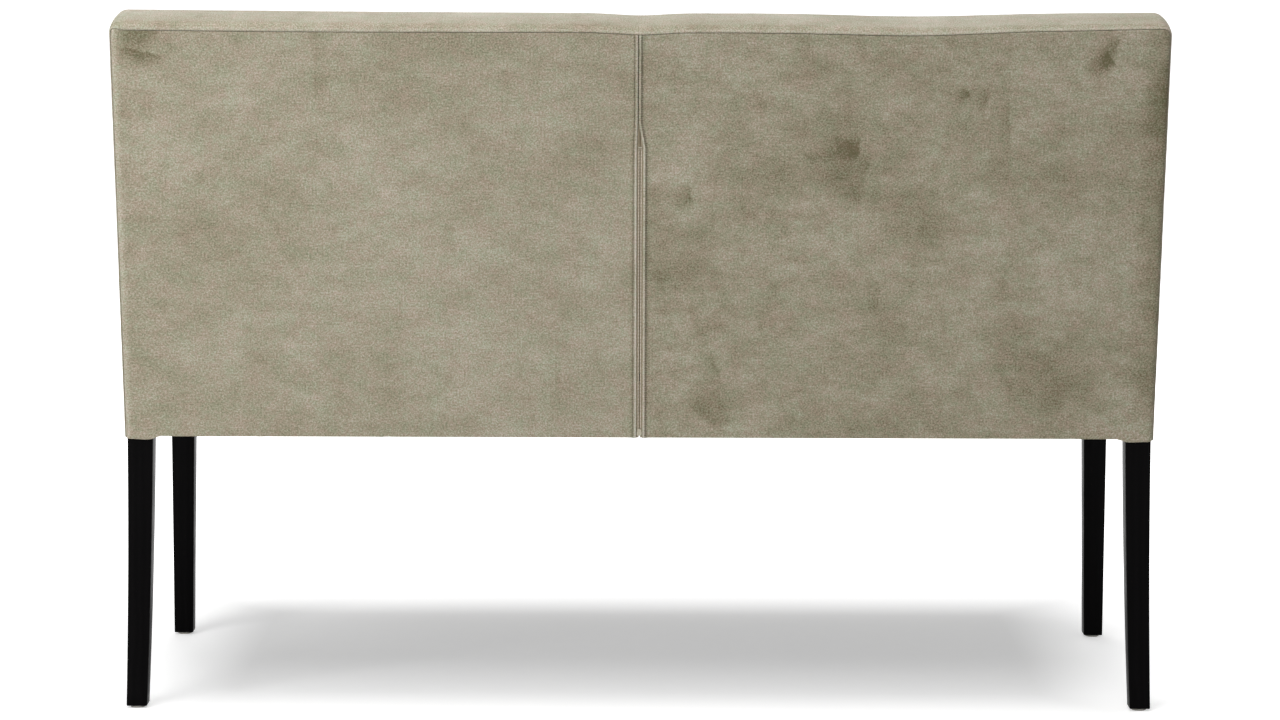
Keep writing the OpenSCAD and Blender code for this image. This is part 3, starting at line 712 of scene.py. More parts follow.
@dataclass(frozen=True)
class Velvet:
    """Short-pile velvet of the cover."""

    name: str = "velvet"
    dark: Colour = srgb(104, 97, 73)
    middle: Colour = srgb(157, 150, 129)
    light: Colour = srgb(201, 196, 183)
    # Dark colour of the painted shade in stitch grooves and along the closed seam
    thread: Colour = srgb(66, 58, 43)
    warm: Colour = (1.085, 0.984, 1.012)
    cool: Colour = (0.925, 1.011, 0.952)
    cloud: float = 1.35
    cloud_left: float = 0.5

    def build(self, kit: Finishes) -> bpy.types.Material:
        """Builds the material on the cloth's own UV map and its painted attributes: brushed-pile tone with painted
        highlight and shade, and painted shade in stitch grooves.
        """
        material, nodes, shader = kit.start(self.name)
        uv = nodes.add("ShaderNodeUVMap", uv_map="cloth").outputs[0]
        # The left half of the bench was brushed less evenly
        split = nodes.add("ShaderNodeSeparateXYZ", {0: uv})
        cloud = nodes.math("MULTIPLY_ADD", nodes.math("LESS_THAN", split.outputs[0], 0.0), self.cloud_left, self.cloud)
        nap = kit.group(nodes, kit.nap, {"Vector": uv, "Cloud": cloud})
        # The nap attribute is the brushed-pile tone together with painted highlight and painted shade
        painted = nodes.add("ShaderNodeAttribute", attribute_name="nap").outputs["Fac"]
        shade = nodes.math("ADD", nap.outputs["Shade"], painted)
        for spot in SMUDGES:
            pressed = kit.group(
                nodes,
                kit.pressed,
                {
                    "Vector": uv,
                    "Centre": spot.centre,
                    "Turn": math.radians(spot.angle),
                    "Wide": spot.wide * MM,
                    "High": spot.high * MM,
                },
            )
            shade = nodes.math("MULTIPLY_ADD", pressed.outputs["Mask"], -spot.depth, shade)
        # Painted shade in stitch grooves and along the closed seam: the seam attribute, strongest at each needle hole,
        # mixes the colour towards the dark thread colour
        holes = kit.group(nodes, kit.stitches, {"Vector": uv})
        seam = nodes.add("ShaderNodeAttribute", attribute_name="seam").outputs["Fac"]
        groove_shade = nodes.math("MULTIPLY", seam, holes.outputs["Mask"])
        level = nodes.math("ADD", shade, 0.5)
        low = nodes.mix(nodes.math("MULTIPLY", level, 2.0), rgba(self.dark), rgba(self.middle))
        high = nodes.mix(nodes.math("MULTIPLY_ADD", level, 2.0, -1.0), low, rgba(self.light))
        tint = nodes.mix(nap.outputs["Hue"], rgba(self.warm), rgba(self.cool))
        tinted = nodes.add("ShaderNodeVectorMath", {0: high, 1: tint}, operation="MULTIPLY").outputs[0]
        groove_shaded = nodes.mix(nodes.math("MULTIPLY", groove_shade, 1.0), tinted, rgba(self.thread))
        nodes.tree.links.new(groove_shaded, shader.inputs["Base Color"])
        rough = nodes.math("MULTIPLY_ADD", shade, -0.4, 0.82)
        nodes.tree.links.new(rough, shader.inputs["Roughness"])
        shader.inputs["Sheen Weight"].default_value = 0.28
        shader.inputs["Sheen Roughness"].default_value = 0.35
        shader.inputs["Sheen Tint"].default_value = (0.92, 0.9, 0.84, 1)
        shader.inputs["Specular IOR Level"].default_value = 0.25
        kit.bump(nodes, shader, nap.outputs["Height"])
        return material


@dataclass(frozen=True)
class Lacquer:
    """Black satin lacquer on wood."""

    name: str = "black_lacquer"
    colour: Colour = (0.0007, 0.0006, 0.0007)
    worn: Colour = (0.0020, 0.0017, 0.0019)

    def build(self, kit: Finishes) -> bpy.types.Material:
        """Builds the material with grain that shows through the lacquer."""
        material, nodes, shader = kit.start(self.name)
        place = nodes.add("ShaderNodeTexCoord").outputs["Object"]
        along = nodes.stretch(place, (1.0, 1.0, 0.06))
        grain = kit.group(nodes, kit.grain, {"Vector": along})
        rub = kit.group(nodes, kit.rub, {"Vector": place, "Scale": 14.0})
        colour = nodes.mix(grain.outputs["Shade"], rgba(self.colour), rgba(self.worn))
        nodes.tree.links.new(colour, shader.inputs["Base Color"])
        rough = nodes.math("MULTIPLY_ADD", rub.outputs["Mask"], 0.10, 0.36)
        nodes.tree.links.new(rough, shader.inputs["Roughness"])
        shader.inputs["Specular IOR Level"].default_value = 0.03
        kit.bump(nodes, shader, grain.outputs["Height"], 0.5)
        return material


@dataclass(frozen=True)
class BareWood:
    """Sawn and planed wood of the hidden frame."""

    name: str
    light: Colour
    dark: Colour
    axis: tuple[float, float, float]
    rough: float = 0.62

    def build(self, kit: Finishes) -> bpy.types.Material:
        """Builds the material with its grain along one axis."""
        material, nodes, shader = kit.start(self.name)
        place = nodes.add("ShaderNodeTexCoord").outputs["Object"]
        grain = kit.group(nodes, kit.grain, {"Vector": nodes.stretch(place, self.axis)})
        colour = nodes.mix(grain.outputs["Shade"], rgba(self.light), rgba(self.dark))
        nodes.tree.links.new(colour, shader.inputs["Base Color"])
        nodes.tree.links.new(
            nodes.math("MULTIPLY_ADD", grain.outputs["Shade"], 0.2, self.rough - 0.1), shader.inputs["Roughness"]
        )
        kit.bump(nodes, shader, grain.outputs["Height"])
        return material


@dataclass(frozen=True)
class Metal:
    """Plated steel."""

    name: str
    colour: Colour
    rough: float = 0.32
    metallic: float = 1.0

    def build(self, kit: Finishes) -> bpy.types.Material:
        """Builds the material with fine rolled lines and handling marks."""
        material, nodes, shader = kit.start(self.name)
        place = nodes.add("ShaderNodeTexCoord").outputs["Object"]
        rub = kit.group(nodes, kit.rub, {"Vector": place, "Scale": 160.0})
        fine = nodes.noise(nodes.stretch(place, (1, 1, 12)), 900.0, 2.0)
        dull = tuple(c * 0.72 for c in self.colour)
        colour = nodes.mix(nodes.math("MULTIPLY", rub.outputs["Mask"], 0.6), rgba(self.colour), rgba(dull))
        nodes.tree.links.new(colour, shader.inputs["Base Color"])
        rough = nodes.math("MULTIPLY_ADD", fine, 0.16, self.rough - 0.05)
        nodes.tree.links.new(rough, shader.inputs["Roughness"])
        shader.inputs["Metallic"].default_value = self.metallic
        kit.bump(nodes, shader, nodes.math("MULTIPLY", fine, 0.00002))
        return material


@dataclass(frozen=True)
class Foam:
    """Cut foam or wadding."""

    name: str
    colour: Colour
    shadow: Colour
    cell: float = 700.0
    depth: float = 0.0006

    def build(self, kit: Finishes) -> bpy.types.Material:
        """Builds the material with open cells."""
        material, nodes, shader = kit.start(self.name)
        place = nodes.add("ShaderNodeTexCoord").outputs["Object"]
        cells = nodes.noise(place, self.cell, 3.0, 0.65)
        tone = nodes.noise(place, 9.0, 3.0, 0.5)
        share = nodes.math("ADD", nodes.math("MULTIPLY", cells, 0.7), nodes.math("MULTIPLY", tone, 0.5))
        colour = nodes.mix(nodes.math("SUBTRACT", share, 0.1), rgba(self.shadow), rgba(self.colour))
        nodes.tree.links.new(colour, shader.inputs["Base Color"])
        nodes.tree.links.new(nodes.math("MULTIPLY_ADD", cells, 0.1, 0.88), shader.inputs["Roughness"])
        kit.bump(nodes, shader, nodes.math("MULTIPLY", cells, self.depth))
        return material


@dataclass(frozen=True)
class Textile:
    """Plain technical cloth: lining, webbing, hook tape or zip tape."""

    name: str
    colour: Colour
    thread: Colour
    pitch: float
    rough: float = 0.8

    def build(self, kit: Finishes) -> bpy.types.Material:
        """Builds the material with a plain weave on Object coordinates."""
        material, nodes, shader = kit.start(self.name)
        place = nodes.add("ShaderNodeTexCoord").outputs["Object"]
        split = nodes.add("ShaderNodeSeparateXYZ", {0: place})
        # The cloths lie level or stand on the lean, so height and depth add up to one direction
        second = nodes.math("ADD", split.outputs[1], split.outputs[2])
        flat = nodes.add("ShaderNodeCombineXYZ", {0: split.outputs[0], 1: second})
        weave = kit.group(nodes, kit.weave, {"Vector": flat.outputs[0], "Pitch": self.pitch})
        slub = nodes.noise(nodes.stretch(flat.outputs[0], (60, 900, 1)), 1.0, 2.0)
        share = nodes.math("ADD", nodes.math("MULTIPLY", weave.outputs["Shade"], 0.6), nodes.math("MULTIPLY", slub, 0.4))
        nodes.tree.links.new(nodes.mix(share, rgba(self.colour), rgba(self.thread)), shader.inputs["Base Color"])
        nodes.tree.links.new(nodes.math("MULTIPLY_ADD", slub, 0.15, self.rough - 0.08), shader.inputs["Roughness"])
        kit.bump(nodes, shader, weave.outputs["Height"])
        return material


@dataclass(frozen=True)
class Moulded:
    """Moulded plastic."""

    name: str
    colour: Colour
    rough: float = 0.45

    def build(self, kit: Finishes) -> bpy.types.Material:
        """Builds the material with a faint moulding grain."""
        material, nodes, shader = kit.start(self.name)
        place = nodes.add("ShaderNodeTexCoord").outputs["Object"]
        rub = kit.group(nodes, kit.rub, {"Vector": place, "Scale": 60.0})
        fine = nodes.noise(place, 1500.0, 2.0)
        dull = tuple(c * 0.8 for c in self.colour)
        colour = nodes.mix(nodes.math("MULTIPLY", rub.outputs["Mask"], 0.7), rgba(self.colour), rgba(dull))
        nodes.tree.links.new(colour, shader.inputs["Base Color"])
        nodes.tree.links.new(nodes.math("MULTIPLY_ADD", fine, 0.12, self.rough - 0.05), shader.inputs["Roughness"])
        kit.bump(nodes, shader, nodes.math("MULTIPLY", fine, 0.00004))
        return material


# ---------------------------------------------------------------- dressing


def dress(
    obj: bpy.types.Object,
    material: bpy.types.Material,
    replaces: tuple[str, ...] = (),
    body: Body = Body.BENCH,
) -> bpy.types.Object:
    """Gives a piece its finish and its body, and hides the CAD nodes that it replaces.

    Args:
        obj: The piece.
        material: Its finish.
        replaces: CAD nodes that it replaces.
        body: CAD body that it rides on.

    Returns:
        The piece.
    """
    obj.data.materials.clear()
    obj.data.materials.append(material)
    if replaces:
        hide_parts(*replaces)
    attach(obj, body.value)
    log.info("%s: %d faces", obj.name, len(obj.data.polygons))
    return obj


# ---------------------------------------------------------------- legs


@dataclass
class Legs:
    """Four black legs: straight tapered ones in front, sabre ones with posts behind."""

    floor_z: float = 3.0
    foot: float = 28.0
    section: float = 35.0
    kick: float = 44.0
    knee_rise: float = 18.0
    knee_r: float = 300.0
    post_in: float = 16.0
    post_top: float = 553.0
    rail_h: float = 70.0
    edge: float = 1.6
    rings: int = 22

    @property
    def knee_z(self) -> float:
        """Height at which the sabre begins."""
        return SIZES.hem_z + self.knee_rise

    def sabre(self, z: float, extra: float) -> float:
        """How far an arc below the knee has moved back at height z.

        Args:
            z: Height above the floor.
            extra: Added to the kick at the floor.

        Returns:
            The offset to the rear in millimetres.
        """
        run, rise = self.knee_z - self.floor_z, self.kick + extra
        radius = (run * run + rise * rise) / (2 * rise)
        return radius - math.sqrt(radius**2 - (self.knee_z - z) ** 2)

    def rear_face(self, z: float) -> float:
        """Y of the rear leg's rear face at height z."""
        if z < self.knee_z:
            return SIZES.knee_y + self.sabre(z, 0.0)
        # Straight post, tangent to the knee's arc
        s, c = math.sin(SIZES.lean), math.cos(SIZES.lean)
        if z < self.knee_z + self.knee_r * s:
            return SIZES.knee_y + self.knee_r - math.sqrt(self.knee_r**2 - (z - self.knee_z) ** 2)
        up = (z - SIZES.hem_z - self.post_in * s) / c
        return float(on_back(0.0, self.post_in, up)[1])

    def front_face(self, z: float) -> float:
        """Y of the rear leg's front face at height z."""
        if z < self.knee_z:
            return SIZES.rear_leg_y0 + self.sabre(z, self.section - self.foot)
        s, c = math.sin(SIZES.lean), math.cos(SIZES.lean)
        outer = self.knee_r + self.section
        if z < self.knee_z + outer * s:
            return SIZES.knee_y + self.knee_r - math.sqrt(outer**2 - (z - self.knee_z) ** 2)
        up = (z - SIZES.hem_z - (self.post_in + self.section) * s) / c
        return float(on_back(0.0, self.post_in + self.section, up)[1])

    def inner_x(self, z: float) -> float:
        """X of a leg's inner face at height z."""
        share = min(1.0, (z - self.floor_z) / (SIZES.rail_z0 - self.floor_z))
        return SIZES.frame_half - self.foot + (self.foot - self.section) * share

    def raise_leg(self, name: str, levels: list[float], section: object) -> bpy.types.Object:
        """Extrudes a square foot upwards through its sections.

        Args:
            name: Name of the piece.
            levels: Heights of the sections, from the floor up.
            section: Gives (front y, rear y, inner x) at a height.

        Returns:
            The leg on the right side, in object mode.
        """
        front, rear, inner = section(levels[0])
        outer = SIZES.frame_half
        bpy.ops.object.select_all(action="DESELECT")
        bpy.ops.mesh.primitive_plane_add(
            size=1, location=((inner + outer) / 2 * MM, (front + rear) / 2 * MM, levels[0] * MM)
        )
        leg = bpy.context.object
        leg.name = leg.data.name = name
        leg.scale = ((outer - inner) * MM, (rear - front) * MM, 1)
        freeze(leg)
        bpy.ops.object.mode_set(mode="EDIT")
        bpy.ops.mesh.select_all(action="SELECT")
        for low, high in zip(levels, levels[1:]):
            front_0, rear_0, inner_0 = section(low)
            front_1, rear_1, inner_1 = section(high)
            bpy.ops.mesh.extrude_region_move(
                TRANSFORM_OT_translate={"value": (0, (rear_1 - rear_0) * MM, (high - low) * MM)}
            )
            bpy.ops.transform.resize(
                value=((outer - inner_1) / (outer - inner_0), (rear_1 - front_1) / (rear_0 - front_0), 1),
                center_override=(outer * MM, rear_1 * MM, high * MM),
            )
        bpy.ops.mesh.select_all(action="SELECT")
        bpy.ops.mesh.normals_make_consistent(inside=False)
        bpy.ops.object.mode_set(mode="OBJECT")
        return leg

    def front_leg(self) -> bpy.types.Object:
        """Straight leg, tapered on its two inner faces."""

        def section(z: float) -> tuple[float, float, float]:
            """Faces of the leg at a height."""
            share = min(1.0, (z - self.floor_z) / (SIZES.rail_z0 - self.floor_z))
            depth = self.foot + (self.section - self.foot) * share
            return SIZES.front_leg_y0, SIZES.front_leg_y0 + depth, self.inner_x(z)

        return self.raise_leg("front_leg_black_right", [self.floor_z, SIZES.rail_z0, SIZES.rail_z0 + self.rail_h], section)

    def rear_leg(self) -> bpy.types.Object:
        """Sabre leg that bends at the knee and leans back as the post."""
        s = math.sin(SIZES.lean)
        bend_top = self.knee_z + (self.knee_r + self.section) * s
        low = [self.floor_z + (self.knee_z - self.floor_z) * i / self.rings for i in range(self.rings + 1)]
        low = sorted(set(low) | {SIZES.rail_z0})
        bend = [self.knee_z + (bend_top - self.knee_z) * i / 8 for i in range(1, 9)]
        top = float(on_back(0.0, self.post_in + self.section, self.post_top)[2]) + 5
        leg = self.raise_leg(
            "rear_leg_black_right", low + bend + [top], lambda z: (self.front_face(z), self.rear_face(z), self.inner_x(z))
        )
        # The post ends square to its slope
        activate(leg)
        bpy.ops.object.mode_set(mode="EDIT")
        bpy.ops.mesh.select_all(action="SELECT")
        end = on_back(0.0, self.post_in, self.post_top) * MM
        bpy.ops.mesh.bisect(
            plane_co=tuple(end), plane_no=(0, s, math.cos(SIZES.lean)), clear_outer=True, use_fill=True
        )
        bpy.ops.object.mode_set(mode="OBJECT")
        return leg

    def build(self, material: bpy.types.Material) -> None:
        """Builds the legs of both sides."""
        for leg, kind in ((self.front_leg(), "front"), (self.rear_leg(), "rear")):
            round_edges(leg, self.edge)
            twin = mirrored(leg, f"{kind}_leg_black_left")
            dress(leg, material, (f"{kind}_leg_right",))
            dress(twin, material, (f"{kind}_leg_left",))


def mirrored(obj: bpy.types.Object, name: str) -> bpy.types.Object:
    """Copies a piece to the other side with its own mesh.

    Args:
        obj: The piece on the right.
        name: Name of the copy.

    Returns:
        The copy, with its faces turned out again.
    """
    twin = link(name, obj.data.copy())
    twin.data.name = name
    points = np.zeros(len(twin.data.vertices) * 3, np.float32)
    twin.data.vertices.foreach_get("co", points)
    points = points.reshape(-1, 3) * np.array([-1, 1, 1], np.float32)
    twin.data.vertices.foreach_set("co", points.ravel())
    twin.data.flip_normals()
    twin.data.update()
    return twin


# ---------------------------------------------------------------- frame and fasteners


@dataclass
class Frame:
    """Hidden frame and fasteners: CAD nodes that keep their shape."""

    along_x: tuple[str, ...] = ("front_rail", "rear_rail", "top_rail", "lower_back_rail")
    along_y: tuple[str, ...] = ("side_rail_left", "side_rail_right", "centre_rail")
    along_z: tuple[str, ...] = ("centre_post", "corner_blocks")
    steel: tuple[str, ...] = ("corner_bolts", "bolt_washers", "bolt_nuts", "block_screws")

    def paint(self, node: str, material: bpy.types.Material) -> None:
        """Gives a CAD node a finish."""
        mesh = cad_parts[node].data
        mesh.materials.clear()
        mesh.materials.append(material)

    def build(self, kit: Finishes) -> None:
        """Dresses every node that is kept."""
        light, dark = srgb(205, 170, 122), srgb(160, 118, 74)
        for names, axis, word in (
            (self.along_x, (0.05, 1.0, 1.0), "x"),
            (self.along_y, (1.0, 0.05, 1.0), "y"),
            (self.along_z, (1.0, 1.0, 0.05), "z"),
        ):
            wood = BareWood(f"frame_wood_{word}", light, dark, axis).build(kit)
            for name in names:
                self.paint(name, wood)
        self.paint("dowels", BareWood("dowel_beech", srgb(214, 184, 140), srgb(178, 140, 96), (1, 1, 1)).build(kit))
        steel = Metal("zinc_steel", (0.56, 0.57, 0.58)).build(kit)
        for name in self.steel:
            self.paint(name, steel)
        self.paint("floor_glides", Moulded("glide_nylon", srgb(196, 192, 182)).build(kit))


# ---------------------------------------------------------------- shape of the cover


class BackForm:
    """Outer surface of the upholstered back."""

    def thickness(self, x: Array, up: Array) -> Array:
        """Depth of the front face behind which the rear face lies, with its crown."""
        span = (SIZES.back_len + 120) / 2
        long = SIZES.back_t - SIZES.back_crown * ((up - (SIZES.back_len - 120) / 2) / span) ** 2
        cross = SIZES.back_t + SIZES.cross_lift - (SIZES.back_crown + SIZES.cross_lift) * (x / SIZES.half_w) ** 2
        soft = 1.4
        return -soft * np.log(np.exp(-long / soft) + np.exp(-cross / soft))

    def sag(self, x: Array) -> Array:
        """How far the top edge has sunk, with a dip at the centre seam."""
        wide = 3.0 * (1 - (x / SIZES.half_w) ** 2)
        return wide + 3.2 * bump(x, 0, 40) + 4.0 * bump(x, -370, 130)

    side_lift: float = 7.6

    def lift(self, x: Array) -> Array:
        """How far the rear upper seam has crept up over the edge."""
        return -1.6 + 1.6 * smooth((500 - x) / 500) + 2.2 * smooth((-330 - x) / 200) + 1.4 * smooth((-560 - x) / 120)

    def round_edge(self, lift: Array) -> Array:
        """Lift of a seam, measured round the edge's arc."""
        arc = SIZES.edge_r * np.arcsin(np.clip(lift / SIZES.edge_r, 0, 0.97))
        return arc + np.minimum(lift, 0)

    def creep(self, x: Array) -> Array:
        """How far the upper seam lies past the face's edge."""
        return self.round_edge(self.lift(x))

    @property
    def side_creep(self) -> float:
        """How far the side seams lie past the face's edge."""
        return float(self.round_edge(np.array(self.side_lift)))

    def settle(self, x: Array, up: Array) -> Array:
        """Height up the slope after the sag of the top."""
        return up - self.sag(x) * smooth((up - 330) / 230)

    def wrap(self, q: Array, depth: Array, roll: Array) -> tuple[Array, Array]:
        """Section of the boxing from the rear seam over the edge to the front seam.

        Args:
            q: Way along the section from the rear seam.
            depth: Thickness of the back there.
            roll: 1 where the front edge is rolled, 0 where it lies flat beside the seat.

        Returns:
            How far out the point is, and how deep from the rear face.
        """
        r = SIZES.edge_r
        quarter = r * math.pi / 2
        flat = depth - 2 * r
        rear = np.clip(q, 0, quarter) / r
        front = np.clip(q - quarter - flat, 0, quarter) / r
        out = r * np.sin(rear) - r * (1 - np.cos(front)) * roll + np.minimum(q, 0)
        tip = np.sin(front) * roll + front / (math.pi / 2) * (1 - roll)
        inward = r * (1 - np.cos(rear)) + np.clip(q - quarter, 0, flat) + r * tip
        crown = np.clip((q - quarter) / flat, 0, 1)
        return out + 1.3 * np.sin(math.pi * crown), inward

    def rear_surface(self, x: Array, up: Array) -> tuple[Array, Array, Array]:
        """Maps the flat rear cloth over the edge's rounding.

        Args:
            x: Place on the flat cloth, along the bench.
            up: Place on the flat cloth, up the slope.

        Returns:
            x, depth and height up the slope on the back.
        """
        r, corner = SIZES.edge_r, SIZES.field_corner
        side, ax = np.where(x < 0, -1.0, 1.0), np.abs(x)
        cx, cu = SIZES.field_half - corner, SIZES.field_top - corner
        dx, du = np.maximum(ax - cx, 0), np.maximum(up - cu, 0)
        reach = np.hypot(dx, du)
        past = np.maximum(reach - corner, 0)
        nx, nu = dx / np.maximum(reach, 1e-9), du / np.maximum(reach, 1e-9)
        turn = past / r
        ax = ax + nx * (r * np.sin(turn) - past)
        up = up + nu * (r * np.sin(turn) - past)
        return side * ax, r * (1 - np.cos(turn)), up


FORM = BackForm()


def fit_field(x: Array, up: Array, creep: Array | float, beside: float = 0.0) -> tuple[Array, Array]:
    """Fits a square grid to a face with round upper corners.

    Args:
        x: Along the bench, on the square grid.
        up: Up the slope, on the square grid.
        creep: How far the upper edge lies past the face's edge.
        beside: The same for its side edges.

    Returns:
        x and height on the flat cloth.
    """
    half, top, corner = SIZES.field_half, SIZES.field_top, SIZES.field_corner
    side, ax = np.where(x < 0, -1.0, 1.0), np.abs(x)
    cx, cu = half - corner, top - corner

    def arc(angle: Array) -> tuple[Array, Array]:
        """Point on the corner at an angle, with the seam's creep changing round it."""
        share = smooth(angle / (math.pi / 2))
        reach = corner + creep * share + beside * (1 - share)
        return cx + reach * np.cos(angle), cu + reach * np.sin(angle)

    t = math.pi / 2 - math.pi / 4 * np.clip((ax - cx) / corner, 0, 1)
    tx, tu = arc(t)
    top_x = np.where(ax < cx, 0.0, tx - ax)
    top_u = np.where(ax < cx, creep, tu - top)
    s = math.pi / 4 * np.clip((up - cu) / corner, 0, 1)
    sx, su = arc(s)
    side_x, side_u = np.where(up < cu, beside, sx - half), np.where(up < cu, 0.0, su - up)
    ex, eu = arc(np.full_like(ax, math.pi / 4))
    wt, ws = smooth((up - top + 60) / 60), smooth((ax - half + 60) / 60)
    dx = top_x * wt + side_x * ws - (ex - half) * wt * ws
    du = top_u * wt + side_u * ws - (eu - top) * wt * ws
    return side * (ax + dx), up + du


@dataclass
class Cover:
    """Velvet slipcover: rear panels with the zip's opening, boxing, inside back, seat and borders."""

    cloth: float = 0.7
    step: float = 5.0
    valley: float = 1.7
    stitch_in: float = 4.6
    ridge: float = 1.1
    seam_x: float = 2.3
    stitch_l: float = 3.2
    thread_r: float = 0.27
    fold_r: float = 0.78
    leg_drop: float = 4.0
    grids: dict[str, tuple[Array, Vector]] = field(default_factory=dict)
    seat_pad: bpy.types.Object | None = None
    back_pad: bpy.types.Object | None = None

    # -------- small forms

    def hem_drop(self, x: Array) -> Array:
        """How much lower the hem hangs round a leg."""
        reach = np.abs(x)
        sway = 0.7 * soft_noise(x, x * 0, 17.0, 25) * smooth((reach - 560) / 60)
        return self.leg_drop * smooth((reach - 648) / 16) - 2.2 * smooth((reach - 691) / 9) ** 2 + sway

    def pucker(self, along: Array, away: Array, seed: int, size: float = 0.35) -> Array:
        """Small folds that run out from a seam.

        Args:
            along: Way along the seam.
            away: Distance from the seam.
            seed: Picks the folds.
            size: Height of the folds.

        Returns:
            The outward offset.
        """
        wave = soft_noise(along, along * 0 + 0.3, 11.0, seed) + 0.5 * soft_noise(along, along * 0, 5.0, seed + 1)
        return size * wave * np.exp(-np.abs(away) / 14.0) * smooth(np.abs(away) / 2.0)

    def paint(self, obj: bpy.types.Object, name: str, value: Array) -> None:
        """Stores a value for each point, such as the brushed-pile tone with its painted highlight and shade."""
        layer = obj.data.attributes.new(name, "FLOAT", "POINT")
        layer.data.foreach_set("value", value.astype(np.float32).ravel())

    def finish(
        self,
        name: str,
        points: Array,
        uv: Array,
        outward: tuple[float, float, float],
        nap: Array | tuple[Array, Array],
        node: str,
    ) -> bpy.types.Object:
        """Makes, thickens and dresses one panel of the cover.

        Args:
            name: Name of the piece.
            points: Grid of points in millimetres.
            uv: Grid of places on the flat cloth.
            outward: Direction that it faces.
            nap: Brushed-pile tone at each point with painted highlight and shade, and with it how near a stitch line
                is, which paints shade in its groove.
            node: CAD node that it replaces.

        Returns:
            The panel.
        """
        self.grids[node] = (points, Vector(outward))
        panel = cloth_grid(name, points, uv, Vector(outward))
        nap, seam = nap if isinstance(nap, tuple) else (nap, np.zeros(points.shape[:2]))
        self.paint(panel, "nap", nap)
        self.paint(panel, "seam", seam)
        thicken(panel, self.cloth)
        dress(panel, self.velvet, (node,))
        return panel

    # -------- rear panels

    def rear_columns(self) -> tuple[list[float], list[float]]:
        """Columns of a rear panel, by their distance from the folded edge.

        Returns:
            Distances outwards, and depths of the turned-in part, both from its inner end on.
        """
        r = self.fold_r
        arc = [i / 6 for i in range(7)]
        away = [6.0, 3.0] + [r - r * math.sin(math.pi * t) for t in arc]
        deep = [2 * r, 2 * r] + [r + r * math.cos(math.pi * t) for t in arc]
        plain = [1.1, 1.5, 2.0, 2.6, 3.2, 3.7, 4.1, 4.35, 4.6, 4.85, 5.1, 5.5, 6.2, 7.2, 8.6, 10.5, 13.0, 16.5]
        away += plain
        deep += [0.0] * len(plain)
        rest = spaced(16.5, SIZES.field_half, self.step, SEAM_LINES)[len(SEAM_LINES) :]
        away += rest
        deep += [0.0] * len(rest)
        return away, deep

    def outer_back(self, side: Side) -> bpy.types.Object:
        """One half of the rear, from the hem's lip to the boxing's seam."""
        sign = side.value
        away, deep = (np.array(v) for v in self.rear_columns())
        lip = [-SIZES.lip, -SIZES.lip * 0.66, -SIZES.lip * 0.33, -4.0, -1.6, -0.6]
        rows = np.array(lip + spaced(0.0, SIZES.field_top, self.step, SEAM_LINES))
        level = np.maximum(rows, 0.0)[:, None]
        # The folds close above the coil; one stays straight and the other comes over to it
        shut = np.clip((level - SIZES.zip_len) / SIZES.zip_close, 0, 1)
        edge = SIZES.zip_gap / 2 * (1 - shut) + sign * self.seam_x * shut
        span = (SIZES.field_half - edge) / SIZES.field_half
        near = away < 20
        ax = np.where(near[None, :], edge + away[None, :], edge + away[None, :] * span)
        last = (ax[:, -1:] - SIZES.field_half) * smooth((ax - 600) / 90)
        ax = ax - last
        gx, gu = fit_field(sign * ax, np.broadcast_to(level, ax.shape), FORM.creep(sign * ax), FORM.side_creep)
        x, inward, up = FORM.rear_surface(gx, gu)
        height = self.rear_relief(sign, ax, level, away[None, :], shut, near)
        inward = inward + deep[None, :] - height
        # Edges dive into the boxing's seam
        inward[:, -1] += self.valley
        inward[-1, :] = np.maximum(inward[-1, :], inward[-2, :] + self.valley * 0.9)
        up = FORM.settle(x, up)
        points = on_back(x, inward, up)
        points = self.turn_hem(points, rows, x, deep)
        uv = np.stack([sign * (ax + 800), np.broadcast_to(rows[:, None], ax.shape)], -1)
        nap = self.rear_nap(x, np.broadcast_to(rows[:, None], x.shape), side)
        # Painted highlight along the folded ridge, stronger on the half towards the key lamp, and painted shade just
        # past the stitch line
        lit = bump(away, 1.9, 1.1) - 0.25 * bump(away, 7.0, 1.5)
        nap = nap + (0.5 if side is Side.RIGHT else 0.38) * (lit * (away < 12))[None, :] * (1 - 0.45 * shut)
        # Painted shade in the stitch groove, wider on the half away from the key lamp, and in the crease of the closed
        # seam above the zip
        dark = bump(away, self.stitch_in + 0.2, 0.85 if side is Side.RIGHT else 1.3) * (away < 12)
        folded = bump(away, -0.2, 0.9) * (away < 3)
        seam = dark[None, :] + folded[None, :] * shut + 0 * nap
        return self.finish(
            f"outer_back_cloth_{side.word}",
            points,
            uv,
            (0, 1, 0.2),
            (nap, seam),
            f"outer_back_{side.word}",
        )

    def rear_relief(self, sign: int, ax: Array, level: Array, away: Array, shut: Array, near: Array) -> Array:
        """Outward relief of a rear panel: stitched ridge, folds and soft waves."""
        ridge = self.ridge * smooth((away - 0.2) / 1.0) * (1 - smooth((away - self.stitch_in + 0.9) / 0.8))
        groove = 1.1 * bump(away, self.stitch_in, 0.5)
        beyond = 0.35 * smooth((away - self.stitch_in) / 0.8) * (1 - smooth((away - 6.0) / 9.0))
        seam = shut * 0.9 * bump(away, 0.0, 1.0)
        height = (ridge - groove + beyond - seam) * (away < 40)
